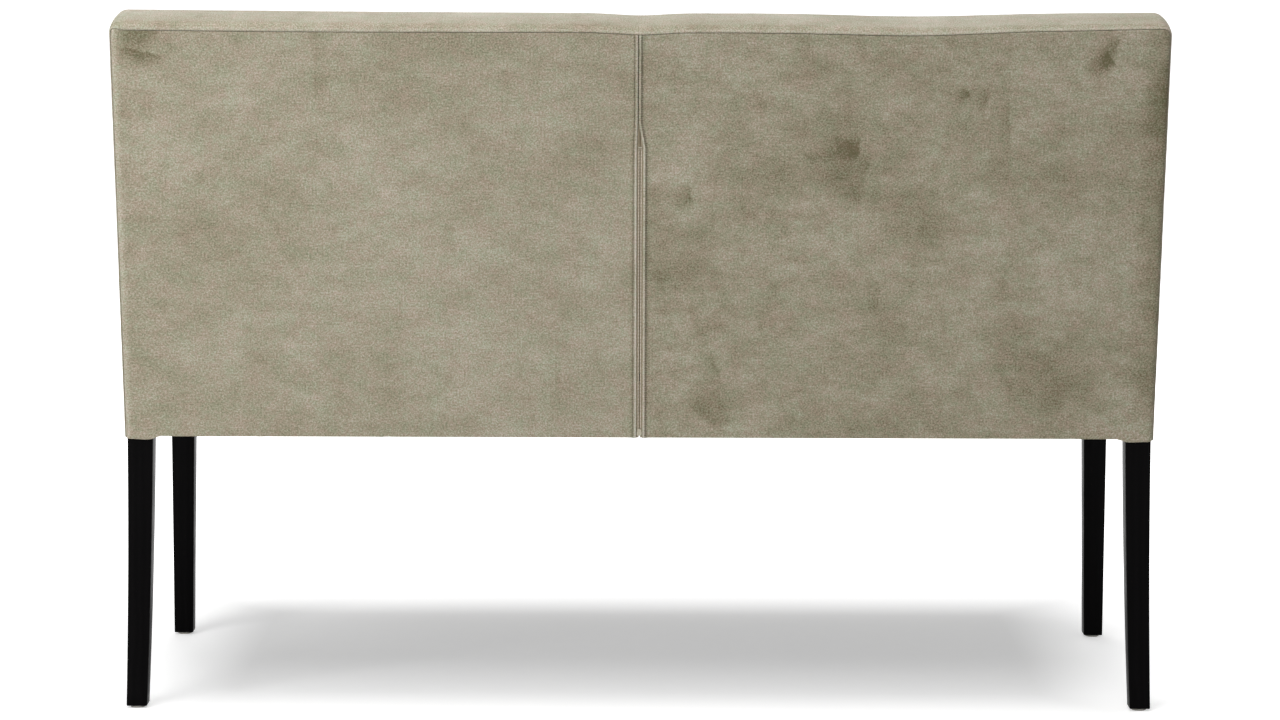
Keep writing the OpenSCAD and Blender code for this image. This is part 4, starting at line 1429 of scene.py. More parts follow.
        # Soft waves of the cloth over its pad, and short creases above the hem
        wave = 0.8 * soft_noise(ax * sign, level * 0.8, 170, 11) + 0.35 * soft_noise(ax * sign, level, 60, 12)
        calm = smooth(away / 30) * smooth(level / 40) * smooth((SIZES.field_top - level) / 40)
        height = height + wave * calm * smooth((SIZES.field_half - ax) / 40)
        crease = 0.0
        for place, tall, deep in ((505, 45, 1.3), (342, 26, 1.1), (188, 18, 0.5), (-250, 22, 0.5), (-480, 30, 0.6)):
            crease = crease - deep * bump(ax * sign, place + 0.08 * level, 3.2) * (1 - smooth((level - 6) / tall))
            crease = crease + 0.5 * deep * bump(ax * sign, place + 9 + 0.08 * level, 6.0) * (
                1 - smooth((level - 4) / tall)
            )
        height = height + crease
        height = height + self.pucker(ax * sign, SIZES.field_top - level, 21, 0.30)
        height = height + self.pucker(level + 0 * ax, SIZES.field_half - ax, 22, 0.30)
        tug = 0.25 * soft_noise(level + 0 * ax, ax * 0, 8.0, 31 if sign > 0 else 32) * bump(away, 7.5, 4.0)
        return height + tug * smooth(level / 8)

    def turn_hem(self, points: Array, rows: Array, x: Array, deep: Array) -> Array:
        """Turns the lowest rows in under the rails, and lets the hem hang lower round the legs."""
        drop = self.hem_drop(x[0])
        fade = 1 - smooth(rows / 45)
        points[:, :, 2] -= fade[:, None] * drop[None, :]
        inside = np.clip((657 - np.abs(x[0])) / 4, 0, 1)
        room = SIZES.lip * inside + 5.0 * (1 - inside)
        base = points[np.argmax(rows >= 0)]
        for i, row in enumerate(rows):
            if row >= 0:
                break
            share = -row / SIZES.lip
            way = room * share
            turn = min(1.0, -row / 4.0)
            points[i, :, 1] = base[:, 1] - way - 0.2
            points[i, :, 2] = base[:, 2] - 0.35 * math.sin(math.pi * turn) + self.cloth * turn * 0.6
        return points

    def rear_nap(self, x: Array, up: Array, side: Side) -> Array:
        """Tone of a rear panel: brushed-pile blotches, with painted light on the half towards the key lamp and painted
        shade on the other half.
        """
        nap = 0.05 * soft_noise(x, up, 150, 41) + 0.03 * soft_noise(x, up * 2, 70, 42)
        reach = np.abs(x)
        if side is Side.RIGHT:
            # Painted light: the half on the key lamp's side is lighter, with a painted highlight along its outer edge
            return nap + 0.03 + 0.16 * smooth((reach - 686) / 8)
        # Painted shade: the other half is darker, and darker still towards its outer edge
        nap = nap - 0.03 - 0.16 * smooth((reach - 655) / 35) * smooth(up / 60)
        return nap

    def needle_thread(self, side: Side, material: bpy.types.Material) -> None:
        """Lays the seam's thread along its groove, in and out of the needle holes.

        Args:
            side: Side of the zip.
            material: The thread's finish.
        """
        away, deep = (np.array(v) for v in self.rear_columns())
        column = int(np.argmin(np.abs(away - self.stitch_in) + 100 * deep))
        points, _ = self.grids[f"outer_back_{side.word}"]
        line = points[6:-1, column]
        reach = np.concatenate([[0], np.cumsum(np.linalg.norm(np.diff(line, axis=0), axis=1))])
        count = int(reach[-1] / self.stitch_l)
        s = np.linspace(self.stitch_l, (count - 1) * self.stitch_l, (count - 2) * 8 + 1)
        path = np.stack([np.interp(s, reach, line[:, i]) for i in range(3)], -1)
        out = 1.5 * np.sqrt(np.abs(np.sin(math.pi * s / self.stitch_l))) - 0.5
        outward = np.array([0, math.cos(SIZES.lean), -math.sin(SIZES.lean)])
        turn = np.linspace(0, 2 * math.pi, 6)
        ring = self.thread_r * (np.cos(turn)[:, None] * np.array([1.0, 0, 0]) + np.sin(turn)[:, None] * outward)
        path = path + out[:, None] * outward
        tube = path[:, None, :] + ring[None, :, :]
        uv = np.stack([np.broadcast_to(turn, tube.shape[:2]), np.broadcast_to(s[:, None], tube.shape[:2])], -1)
        thread = cloth_grid(f"needle_thread_{side.word}", tube, uv, Vector((-1, 0, 0)))
        dress(thread, material)

    # -------- boxing

    def boxing_section(self, creep: Array, depth: Array, roll: Array) -> tuple[Array, Array, Array]:
        """Section of the boxing at each place along it.

        Args:
            creep: Where the rear seam lies past the face's edge.
            depth: Thickness of the back.
            roll: 1 where its front edge is rolled.

        Returns:
            Outward reach, depth and way across, each rows by columns.
        """
        quarter = SIZES.edge_r * math.pi / 2
        creep, depth = creep[:, None], depth[:, None]
        flat = depth - 2 * SIZES.edge_r
        first = np.array([0, 0.05, 0.12, 0.25, 0.4, 0.6, 0.8])[None, :] * (quarter - creep) + creep
        middle = quarter + np.linspace(0, 1, 15)[None, :] * flat
        last = quarter + flat + np.array([0.2, 0.4, 0.6, 0.75, 0.88, 0.95, 1.0])[None, :] * quarter
        q = np.concatenate([first, middle, last], 1)
        out, inward = FORM.wrap(q, depth, roll[:, None])
        return out, inward, q

    def boxing_strip(self, ox: Array, ou: Array, nx: Array, nu: Array, way: Array, seed: int) -> tuple[Array, Array]:
        """Boxing along a run of the face's outline.

        Args:
            ox: Outline points along the bench.
            ou: Outline points up the slope.
            nx: Outward direction along the bench.
            nu: Outward direction up the slope.
            way: Way along the outline.
            seed: Picks its small folds.

        Returns:
            Points and places on the flat cloth.
        """
        share = smooth(np.arctan2(nu, np.abs(nx)) / (math.pi / 2))
        creep = FORM.creep(ox) * share + FORM.side_creep * (1 - share)
        depth = FORM.thickness(ox, ou)
        roll = smooth((ou - 88) / 20)
        out, inward, q = self.boxing_section(creep, depth, roll)
        total = q[:, -1:]
        out = out + self.pucker(way[:, None] + 0 * q, q - creep[:, None], seed, 0.30)
        out = out + self.pucker(way[:, None] + 0 * q, total - q, seed + 5, 0.30)
        out = out + 0.5 * soft_noise(way[:, None] + 0 * q, q, 90, seed + 9) * np.sin(math.pi * q / total)
        x = ox[:, None] + nx[:, None] * out
        up = ou[:, None] + nu[:, None] * out
        # Both edges dive into their seams
        inward[:, 0] += self.valley
        inward[:, -1] -= self.valley * roll
        x[:, -1] -= nx * self.valley * (1 - roll)
        foot = -inward * math.tan(SIZES.lean) * (1 - smooth(up / 110))
        up = FORM.settle(x, up) + foot
        uv = np.stack([way[:, None] + 0 * q, q + 2000], -1)
        return on_back(x, inward, up), uv

    def top_border(self) -> bpy.types.Object:
        """Boxing over the top and round both upper corners."""
        half, top, corner = SIZES.field_half, SIZES.field_top, SIZES.field_corner
        cx, cu = half - corner, top - corner
        bend = [math.radians(a) for a in range(0, 90, 9)]
        run = spaced(-cx, cx, self.step)
        ox = [cx + corner * math.cos(a) for a in bend] + [-v for v in run]
        ou = [cu + corner * math.sin(a) for a in bend] + [top for _ in run]
        nx, nu = [math.cos(a) for a in bend] + [0.0] * len(run), [math.sin(a) for a in bend] + [1.0] * len(run)
        ox += [-cx - corner * math.cos(a) for a in reversed(bend)]
        ou += [cu + corner * math.sin(a) for a in reversed(bend)]
        nx += [-math.cos(a) for a in reversed(bend)]
        nu += [math.sin(a) for a in reversed(bend)]
        way = [0.0]
        for i in range(1, len(ox)):
            way.append(way[-1] + math.hypot(ox[i] - ox[i - 1], ou[i] - ou[i - 1]) * 1.2)
        points, uv = self.boxing_strip(*(np.array(v) for v in (ox, ou, nx, nu, way)), seed=51)
        nap = 0.05 + 0.04 * soft_noise(uv[..., 0], uv[..., 1], 80, 44)
        # Painted highlight on the boxing just above the rear seam
        nap = nap + 0.16 * bump(uv[..., 1] - uv[:, :1, 1], 3.0, 1.8)
        return self.finish(
            "top_border_cloth", points, uv, (0, 0, 1), nap, "top_border"
        )

    def side_border(self, side: Side) -> bpy.types.Object:
        """Boxing down one side to the hem."""
        top = SIZES.field_top - SIZES.field_corner
        rows = [-4.0, -1.5] + spaced(0.0, top, self.step)
        ou = np.maximum(np.array(rows), 0)
        ox = np.full_like(ou, side.value * SIZES.field_half)
        points, uv = self.boxing_strip(
            ox, ou, np.full_like(ou, side.value), np.zeros_like(ou), np.array(rows), 61 if side is Side.LEFT else 71
        )
        fade = 1 - smooth(np.array(rows) / 45)
        rear = smooth((points[:, :, 1] - 150) / 14)
        points[:, :, 2] -= fade[:, None] * (self.leg_drop - 2.2) * rear
        for i, row in enumerate(rows):
            if row < 0:
                points[i] = points[rows.index(0.0)]
                points[i, :, 0] -= side.value * -row
                points[i, :, 2] += 0.2
        nap = 0.02 + 0.04 * soft_noise(uv[..., 0], uv[..., 1], 80, 45)
        return self.finish(
            f"side_border_cloth_{side.word}",
            points,
            uv,
            (side.value, 0, 0),
            nap,
            f"side_border_{side.word}",
        )

    # -------- front of the back

    def inside_back(self) -> bpy.types.Object:
        """Front panel of the back, from the crevice behind the seat to the boxing."""
        half = SIZES.field_half
        cols = np.array(spaced(-half, half, self.step, SEAM_LINES))
        rows = np.array([60.0, 66.0] + spaced(72.0, SIZES.field_top, self.step, SEAM_LINES)[1:])
        gx, gu = np.meshgrid(cols, rows)
        x, up = fit_field(gx, gu, 0.0)
        away_top, away_side = SIZES.field_top - gu, half - np.abs(gx)
        swell = 3.0 * smooth(away_top / 120) * smooth(away_side / 120)
        tug = self.pucker(gx, away_top, 81, 0.5) + self.pucker(gu, away_side, 82, 0.5)
        wave = 0.9 * soft_noise(gx, gu, 150, 83) * smooth(away_top / 60) * smooth(away_side / 60)
        inward = FORM.thickness(x, up) + swell + tug + wave
        inward[-1, :] -= self.valley
        inward[:, 0] -= self.valley
        inward[:, -1] -= self.valley
        points = on_back(x, inward, FORM.settle(x, up))
        uv = np.stack([gx + 4000, gu + 3000], -1)
        nap = 0.06 * soft_noise(gx, gu, 160, 84) + 0.03 * soft_noise(gx, gu * 2, 60, 85)
        return self.finish(
            "inside_back_cloth", points, uv, (0, -1, 0.2), nap, "inside_back"
        )

    # -------- seat

    def seat_height(self, x: Array, y: Array) -> Array:
        """Crown of the seat."""
        long = SIZES.seat_z - SIZES.seat_crown * ((y - SIZES.seat_mid) / SIZES.seat_half_d) ** 2
        cross = SIZES.seat_z + SIZES.cross_lift - (SIZES.seat_crown + SIZES.cross_lift) * (x / SIZES.half_w) ** 2
        soft = 2.0
        return -soft * np.log(np.exp(-long / soft) + np.exp(-cross / soft))

    def seat_top(self) -> bpy.types.Object:
        """Top of the seat, rolled over its front and side edges down to the seam."""
        r = SIZES.seat_r
        quarter = r * math.pi / 2
        flat_x, front = SIZES.half_w - r, SIZES.front_y + r
        rear = SIZES.seat_mid + SIZES.seat_half_d + 2
        cols = np.array(spaced(-flat_x - quarter, flat_x + quarter, self.step, SEAM_LINES + (18.0, 24.0)))
        rows = np.array(spaced(front - quarter, rear, self.step, SEAM_LINES + (18.0, 24.0)))
        a, b = np.meshgrid(cols, rows)
        da, db = np.maximum(np.abs(a) - flat_x, 0), np.maximum(front - b, 0)
        reach, way = np.maximum(da, db), np.maximum(np.hypot(da, db), 1e-9)
        turn = reach / r
        out = r * np.sin(turn)
        x = np.sign(a) * (np.minimum(np.abs(a), flat_x) + out * da / way)
        y = np.maximum(b, front) - out * db / way
        crown = self.seat_height(np.clip(x, -flat_x, flat_x), np.maximum(y, front))
        swell = 2.5 * smooth((flat_x - np.abs(x)) / 150) * smooth((y - front) / 120) * smooth((rear - y) / 90)
        wave = 1.0 * soft_noise(x, y, 140, 91) + 0.4 * soft_noise(x, y, 55, 92)
        calm = smooth((flat_x - np.abs(x)) / 50) * smooth((y - front) / 50)
        z = crown + swell + wave * calm - (crown - SIZES.seam_z) * (1 - np.cos(turn))
        # The cloth dips into the crevice before the back
        dip = r - np.sqrt(np.maximum(r * r - np.clip(y - rear + r, 0, r) ** 2, 0))
        z = z - dip * np.cos(turn) * 0.9
        fold = self.pucker(a + b, quarter - reach, 93, 0.5)
        x = x + np.sign(a) * fold * da / way
        y = y - fold * db / way
        edge = reach >= quarter - 1e-6
        x = x - np.where(edge, np.sign(a) * self.valley * da / way, 0)
        y = y + np.where(edge, self.valley * db / way, 0)
        uv = np.stack([a + 4000, b + 6000], -1)
        nap = 0.06 * soft_noise(a, b, 150, 94) + 0.03 * soft_noise(a * 2, b, 60, 95)
        points = np.stack([x, y, z], -1)
        return self.finish(
            "seat_top_cloth", points, uv, (0, 0, 1), nap, "seat_top_cover"
        )

    def border_run(self, x: Array, y: Array, nx: Array, ny: Array, way: Array, lips: Array, seed: int) -> tuple[Array, Array]:
        """Upright border below the seat's seam, with its hem turned in.

        Args:
            x: Run of the border seen from above.
            y: The same, to the rear.
            nx: Outward direction along X.
            ny: Outward direction along Y.
            way: Way along the border.
            lips: Width of the turned-in hem at each place.
            seed: Picks its small folds.

        Returns:
            Points and places on the flat cloth.
        """
        low, high = SIZES.hem_z, SIZES.seam_z
        rows = [-1.0, -0.6, -0.3, -0.12, -0.04] + spaced(0.0, high - low, self.step, (0.8, 2.0, 4.0, 7.0, 11.0))
        points = np.zeros((len(rows), len(x), 3))
        bare = 1 - np.clip(lips / 10, 0, 1)
        for i, row in enumerate(rows):
            up = max(row, 0.0)
            belly = 1.2 * math.sin(math.pi * up / (high - low))
            out = belly + self.pucker(way, np.full_like(way, high - low - up), seed, 0.4)
            out = out + 0.6 * soft_noise(way, np.full_like(way, up), 120, seed + 3) * math.sin(math.pi * up / (high - low))
            if row < 0:
                out = out - np.maximum(lips, 4.0) * -row
            if i == len(rows) - 1:
                out = out - self.valley
            drop = self.leg_drop * 0.7 * bare * (1 - smooth(up / 40))
            level = low + up - drop + (0.5 if row < 0 else 0.0)
            points[i] = np.stack([x + nx * out, y + ny * out, level + 0 * x], -1)
        heights = np.array([r * SIZES.lip if r < 0 else r for r in rows])
        uv = np.stack(np.broadcast_arrays(way[None, :], heights[:, None] + 8000), -1)
        return points, uv

    def front_border(self) -> bpy.types.Object:
        """Border along the front and round both front corners."""
        r = SIZES.seat_r
        flat_x, front = SIZES.half_w - r, SIZES.front_y
        bend = [math.radians(a) for a in range(0, 90, 10)]
        run = spaced(-flat_x, flat_x, self.step)
        x = [-flat_x - r * math.cos(a) for a in bend] + run + [flat_x + r * math.cos(a) for a in reversed(bend)]
        y = [front + r - r * math.sin(a) for a in bend]
        y = y + [front] * len(run) + y[::-1]
        nx = [-math.cos(a) for a in bend] + [0.0] * len(run) + [math.cos(a) for a in reversed(bend)]
        ny = [-math.sin(a) for a in bend]
        ny = ny + [-1.0] * len(run) + ny[::-1]
        way = np.concatenate([[0], np.cumsum(np.hypot(np.diff(x), np.diff(y)))])
        lips = SIZES.lip * np.clip((659 - np.abs(np.array(x))) / 3, 0, 1)
        points, uv = self.border_run(*(np.array(v) for v in (x, y, nx, ny)), way, lips, 101)
        nap = 0.04 + 0.05 * soft_noise(uv[..., 0], uv[..., 1], 120, 102)
        return self.finish(
            "front_border_cloth", points, uv, (0, -1, 0), nap, "front_border"
        )

    def seat_side(self, side: Side) -> bpy.types.Object:
        """Border along one side of the seat, up to the back's boxing."""
        start, end = SIZES.front_y + SIZES.seat_r, 137.2
        y = np.array(spaced(start, end, self.step, (0.8, 2.0, 4.0)))
        x = np.full_like(y, side.value * SIZES.half_w)
        legs = smooth((y - SIZES.front_leg_y1 - 2) / 3)
        points, uv = self.border_run(
            x, y, np.full_like(y, side.value), np.zeros_like(y), y - start, SIZES.lip * legs, 111 if side is Side.LEFT else 121
        )
        # The rear edge follows the lean of the back
        tilt = math.tan(SIZES.lean) * (points[:, :, 2] - SIZES.seam_z)
        share = smooth((points[:, :, 1] - 20) / 100)
        points[:, :, 1] += tilt * share
        points[:, -1, 0] -= side.value * self.valley
        nap = 0.02 + 0.05 * soft_noise(uv[..., 0], uv[..., 1], 120, 112)
        return self.finish(
            f"seat_side_cloth_{side.word}",
            points,
            uv,
            (side.value, 0, 0),
            nap,
            f"seat_side_{side.word}",
        )

    def build(self, kit: Finishes) -> None:
        """Builds every panel and the seam's thread."""
        self.velvet = Velvet().build(kit)
        thread = Textile("needle_thread", srgb(166, 157, 135), srgb(128, 119, 98), 0.0005, 0.7).build(kit)
        for side in Side:
            self.outer_back(side)
            self.side_border(side)
            self.seat_side(side)
            self.needle_thread(side, thread)
        self.top_border()
        self.inside_back()
        self.seat_top()
        self.front_border()


# ---------------------------------------------------------------- padding and belts


@dataclass
class Padding:
    """Foam, wadding and rear pad under the cover."""

    wadding: float = 5.0
    cloth: float = 1.6
    foam_voxel: float = 10.0
    pressure: float = 4.0
    cap: float = 9.0
    frames: int = 20
    gap: float = 1.8

    def swell(self, obj: bpy.types.Object, pinned: object, limit: object) -> None:
        """Blows a pad up with the cloth simulation, and keeps it within its cover.

        Args:
            obj: The pad, a little smaller than it will be.
            pinned: Says of points in millimetres which ones rest on something.
            limit: Moves points in millimetres back to where the cover allows them.
        """
        apply_modifier(obj, "REMESH", mode="VOXEL", voxel_size=self.foam_voxel * MM)
        before = vertex_places(obj)
        held = obj.vertex_groups.new(name="rests")
        held.add([int(i) for i in np.flatnonzero(pinned(before))], 1.0, "REPLACE")
        activate(obj)
        cloth = obj.modifiers.new("cloth", "CLOTH")
        settings = cloth.settings
        settings.quality = 4
        settings.vertex_group_mass = "rests"
        settings.use_pressure = True
        settings.uniform_pressure_force = self.pressure
        settings.tension_stiffness = settings.compression_stiffness = 12
        settings.effector_weights.gravity = 0
        scene = bpy.context.scene
        for number in range(1, self.frames + 1):
            scene.frame_set(number)
        bpy.ops.object.modifier_apply(modifier=cloth.name)
        scene.frame_set(1)
        after = vertex_places(obj)
        move = after - before
        length = np.linalg.norm(move, axis=1, keepdims=True)
        move *= np.minimum(1, self.cap / np.maximum(length, 1e-6))
        log.info("%s swelled by %.1f mm at most", obj.name, float(length.max()))
        place_vertices(obj, limit(before + move))
        apply_modifier(obj, "SUBSURF", levels=1, render_levels=1)
        place_vertices(obj, limit(vertex_places(obj)))
        activate(obj)
        bpy.ops.object.shade_smooth()

    def seat_foam(self, cover: "Cover") -> bpy.types.Object:
        """Foam block of the seat, flat on its deck."""
        inset = self.cloth + self.wadding
        side, front = SIZES.half_w - inset, SIZES.front_y + inset
        top = SIZES.seat_z - inset - 7
        foam = add_block("seat_foam_block", (-side + 2, front + 2, SIZES.deck_z), (side - 2, 133.0, top))
        bpy.ops.object.mode_set(mode="EDIT")
        pick(foam, lambda p: p.z > top - 1)
        bpy.ops.mesh.bevel(offset=12 * MM, segments=3)
        bpy.ops.object.mode_set(mode="OBJECT")

        def limit(p: Array) -> Array:
            """Keeps the foam below its wadding, off the back and flat underneath."""
            p = p.copy()
            p[:, 0] = np.clip(p[:, 0], -side, side)
            p[:, 1] = np.clip(p[:, 1], front, 137.0 + (p[:, 2] - SIZES.seam_z) * math.tan(SIZES.lean))
            crown = cover.seat_height(p[:, 0], p[:, 1]) - inset - 0.5
            edge = np.minimum(side - np.abs(p[:, 0]), p[:, 1] - front)
            r = SIZES.seat_r - 4
            fall = r - np.sqrt(np.maximum(r * r - np.clip(r - edge, 0, r) ** 2, 0))
            p[:, 2] = np.clip(p[:, 2], SIZES.deck_z, crown - fall)
            return p

        self.swell(foam, lambda p: p[:, 2] < SIZES.deck_z + 4, limit)
        return foam

    def back_foam(self) -> bpy.types.Object:
        """Foam block of the back, flat on its belts."""
        inset = self.cloth + self.wadding
        side, top = SIZES.half_w - inset, SIZES.back_len - inset
        first, last = 53.2, SIZES.back_t - inset - 7
        foam = add_block("back_foam_block", (-side + 2, -last, 100.0), (side - 2, -first, top - 2))
        bpy.ops.object.mode_set(mode="EDIT")
        pick(foam, lambda p: p.y < -last + 1)
        bpy.ops.mesh.bevel(offset=9 * MM, segments=3)
        bpy.ops.object.mode_set(mode="OBJECT")

        def limit(p: Array) -> Array:
            """Keeps the upright foam behind its wadding and flat on the belts."""
            p = p.copy()
            p[:, 0] = np.clip(p[:, 0], -side, side)
            p[:, 2] = np.clip(p[:, 2], 100.0, top - FORM.sag(p[:, 0]))
            depth = FORM.thickness(p[:, 0], p[:, 2]) - inset - 0.5
            edge = np.minimum(side - np.abs(p[:, 0]), top - FORM.sag(p[:, 0]) - p[:, 2])
            r = SIZES.edge_r - 2
            fall = r - np.sqrt(np.maximum(r * r - np.clip(r - edge, 0, r) ** 2, 0))
            p[:, 1] = -np.clip(-p[:, 1], first, depth - fall)
            return p

        self.swell(foam, lambda p: p[:, 1] > -first - 4, limit)
        p = vertex_places(foam)
        place_vertices(foam, on_back(p[:, 0], -p[:, 1], p[:, 2]))
        # The seat's deck cuts the foam's foot off
        activate(foam)
        bpy.ops.object.mode_set(mode="EDIT")
        bpy.ops.mesh.select_all(action="SELECT")
        bpy.ops.mesh.bisect(
            plane_co=(0, 0, (SIZES.deck_z + 1) * MM), plane_no=(0, 0, -1), clear_outer=True, use_fill=True
        )
        bpy.ops.object.mode_set(mode="OBJECT")
        return foam

    def quilt(
        self, name: str, panel: tuple[Array, Vector], thickness: float, step: tuple[int, int], trim: tuple[int, int]
    ) -> bpy.types.Object:
        """Wadding that follows a panel of the cover.

        Args:
            name: Name of the piece.
            panel: Grid of the panel's points in millimetres, and the way that it faces.
            thickness: Its own thickness.
            step: Takes every so many rows and columns of the grid.
            trim: Rows and columns left out at each edge, where the panel dives into its seams.

        Returns:
            The wadding.
        """
        points, outward = panel
        rows, cols = (
            sorted(set(range(skip, count - skip, every)) | {count - 1 - skip})
            for skip, count, every in zip(trim, points.shape, step)
        )
        normal = np.cross(np.gradient(points, axis=0), np.gradient(points, axis=1))
        normal /= np.maximum(np.linalg.norm(normal, axis=2, keepdims=True), 1e-9)
        if np.dot(normal[points.shape[0] // 2, points.shape[1] // 2], np.array(outward)) < 0:
            normal = -normal
        moved = (points - normal * self.gap)[np.ix_(rows, cols)]
        quilt = cloth_grid(name, moved, np.zeros((*moved.shape[:2], 2)), outward)
        thicken(quilt, thickness)
        return quilt

    def rear_pad(self, side: Side) -> bpy.types.Object:
        """Half of the thin pad behind the posts, cut out round the zip."""
        sign = side.value
        rows = np.array(spaced(5.0, SIZES.back_len - 17, 14.0))
        shut = smooth((rows - SIZES.zip_len - SIZES.zip_close - 4) / 6)
        inner = 14.6 * (1 - shut) + 0.3 * shut
        share = np.linspace(0, 1, 70)
        ax = inner[:, None] + (684.0 - inner[:, None]) * share[None, :]
        up = np.broadcast_to(rows[:, None], ax.shape)
        legs = Legs()
        front = []
        for v in rows:
            y = legs.rear_face(float(on_back(0, 15.5, v)[2])) + 0.4
            front.append(min(15.6, (SIZES.hem_y + v * math.sin(SIZES.lean) - y) / math.cos(SIZES.lean)))
        x, rear, level = FORM.rear_surface(sign * ax, up)
        level = FORM.settle(x, level)
        back = on_back(x, rear + 2.0, level)
        face = on_back(x, np.maximum(np.array(front)[:, None], rear + 3.5), level)
        pad = cloth_grid(f"rear_pad_{side.word}", back, np.zeros((*ax.shape, 2)), Vector((0, 1, 0.2)))
        apply_modifier(pad, "SOLIDIFY", thickness=0.001, offset=-1.0, use_rim=True)
        # The inner wall goes to the posts' face
        places = vertex_places(pad)
        places[back.shape[0] * back.shape[1] : 2 * back.shape[0] * back.shape[1]] = face.reshape(-1, 3)
        place_vertices(pad, places)
        return pad

    def build(self, cover: "Cover", kit: Finishes) -> None:
        """Builds all padding; the cover's front panels are laid over the foams afterwards."""
        foam = Foam("cut_foam", srgb(232, 224, 190), srgb(196, 184, 142)).build(kit)
        fleece = Foam("fleece_wadding", srgb(238, 237, 232), srgb(206, 204, 198), 240.0, 0.0009).build(kit)
        cover.seat_pad = dress(self.seat_foam(cover), foam, ("seat_foam",))
        cover.back_pad = dress(self.back_foam(), foam, ("back_foam",))
        for side in Side:
            pad = dress(self.rear_pad(side), foam, ("rear_pad",))
        self.fleece = fleece

    def line(self, cover: "Cover") -> None:
        """Lays the wadding under the finished panels."""
        for name, key, node, thick, step, trim in (
            ("seat_wadding_sheet", "seat_top_cover", "seat_wadding", 4.0, (2, 2), (8, 8)),
            ("seat_edge_wadding_front", "front_border", "seat_edge_wadding", 3.2, (1, 2), (8, 2)),
            ("seat_edge_wadding_left", "seat_side_left", "seat_edge_wadding", 1.0, (1, 2), (8, 4)),
            ("seat_edge_wadding_right", "seat_side_right", "seat_edge_wadding", 1.0, (1, 2), (8, 4)),
            ("back_wadding_sheet", "inside_back", "back_wadding", 4.0, (3, 3), (7, 7)),
            ("back_edge_wadding_top", "top_border", "back_edge_wadding", 4.0, (2, 1), (1, 5)),
            ("back_edge_wadding_left", "side_border_left", "back_edge_wadding", 1.0, (2, 1), (4, 5)),
            ("back_edge_wadding_right", "side_border_right", "back_edge_wadding", 1.0, (2, 1), (4, 5)),
        ):
            sheet = self.quilt(name, cover.grids[key], thick, step, trim)
            dress(sheet, self.fleece, (node,))


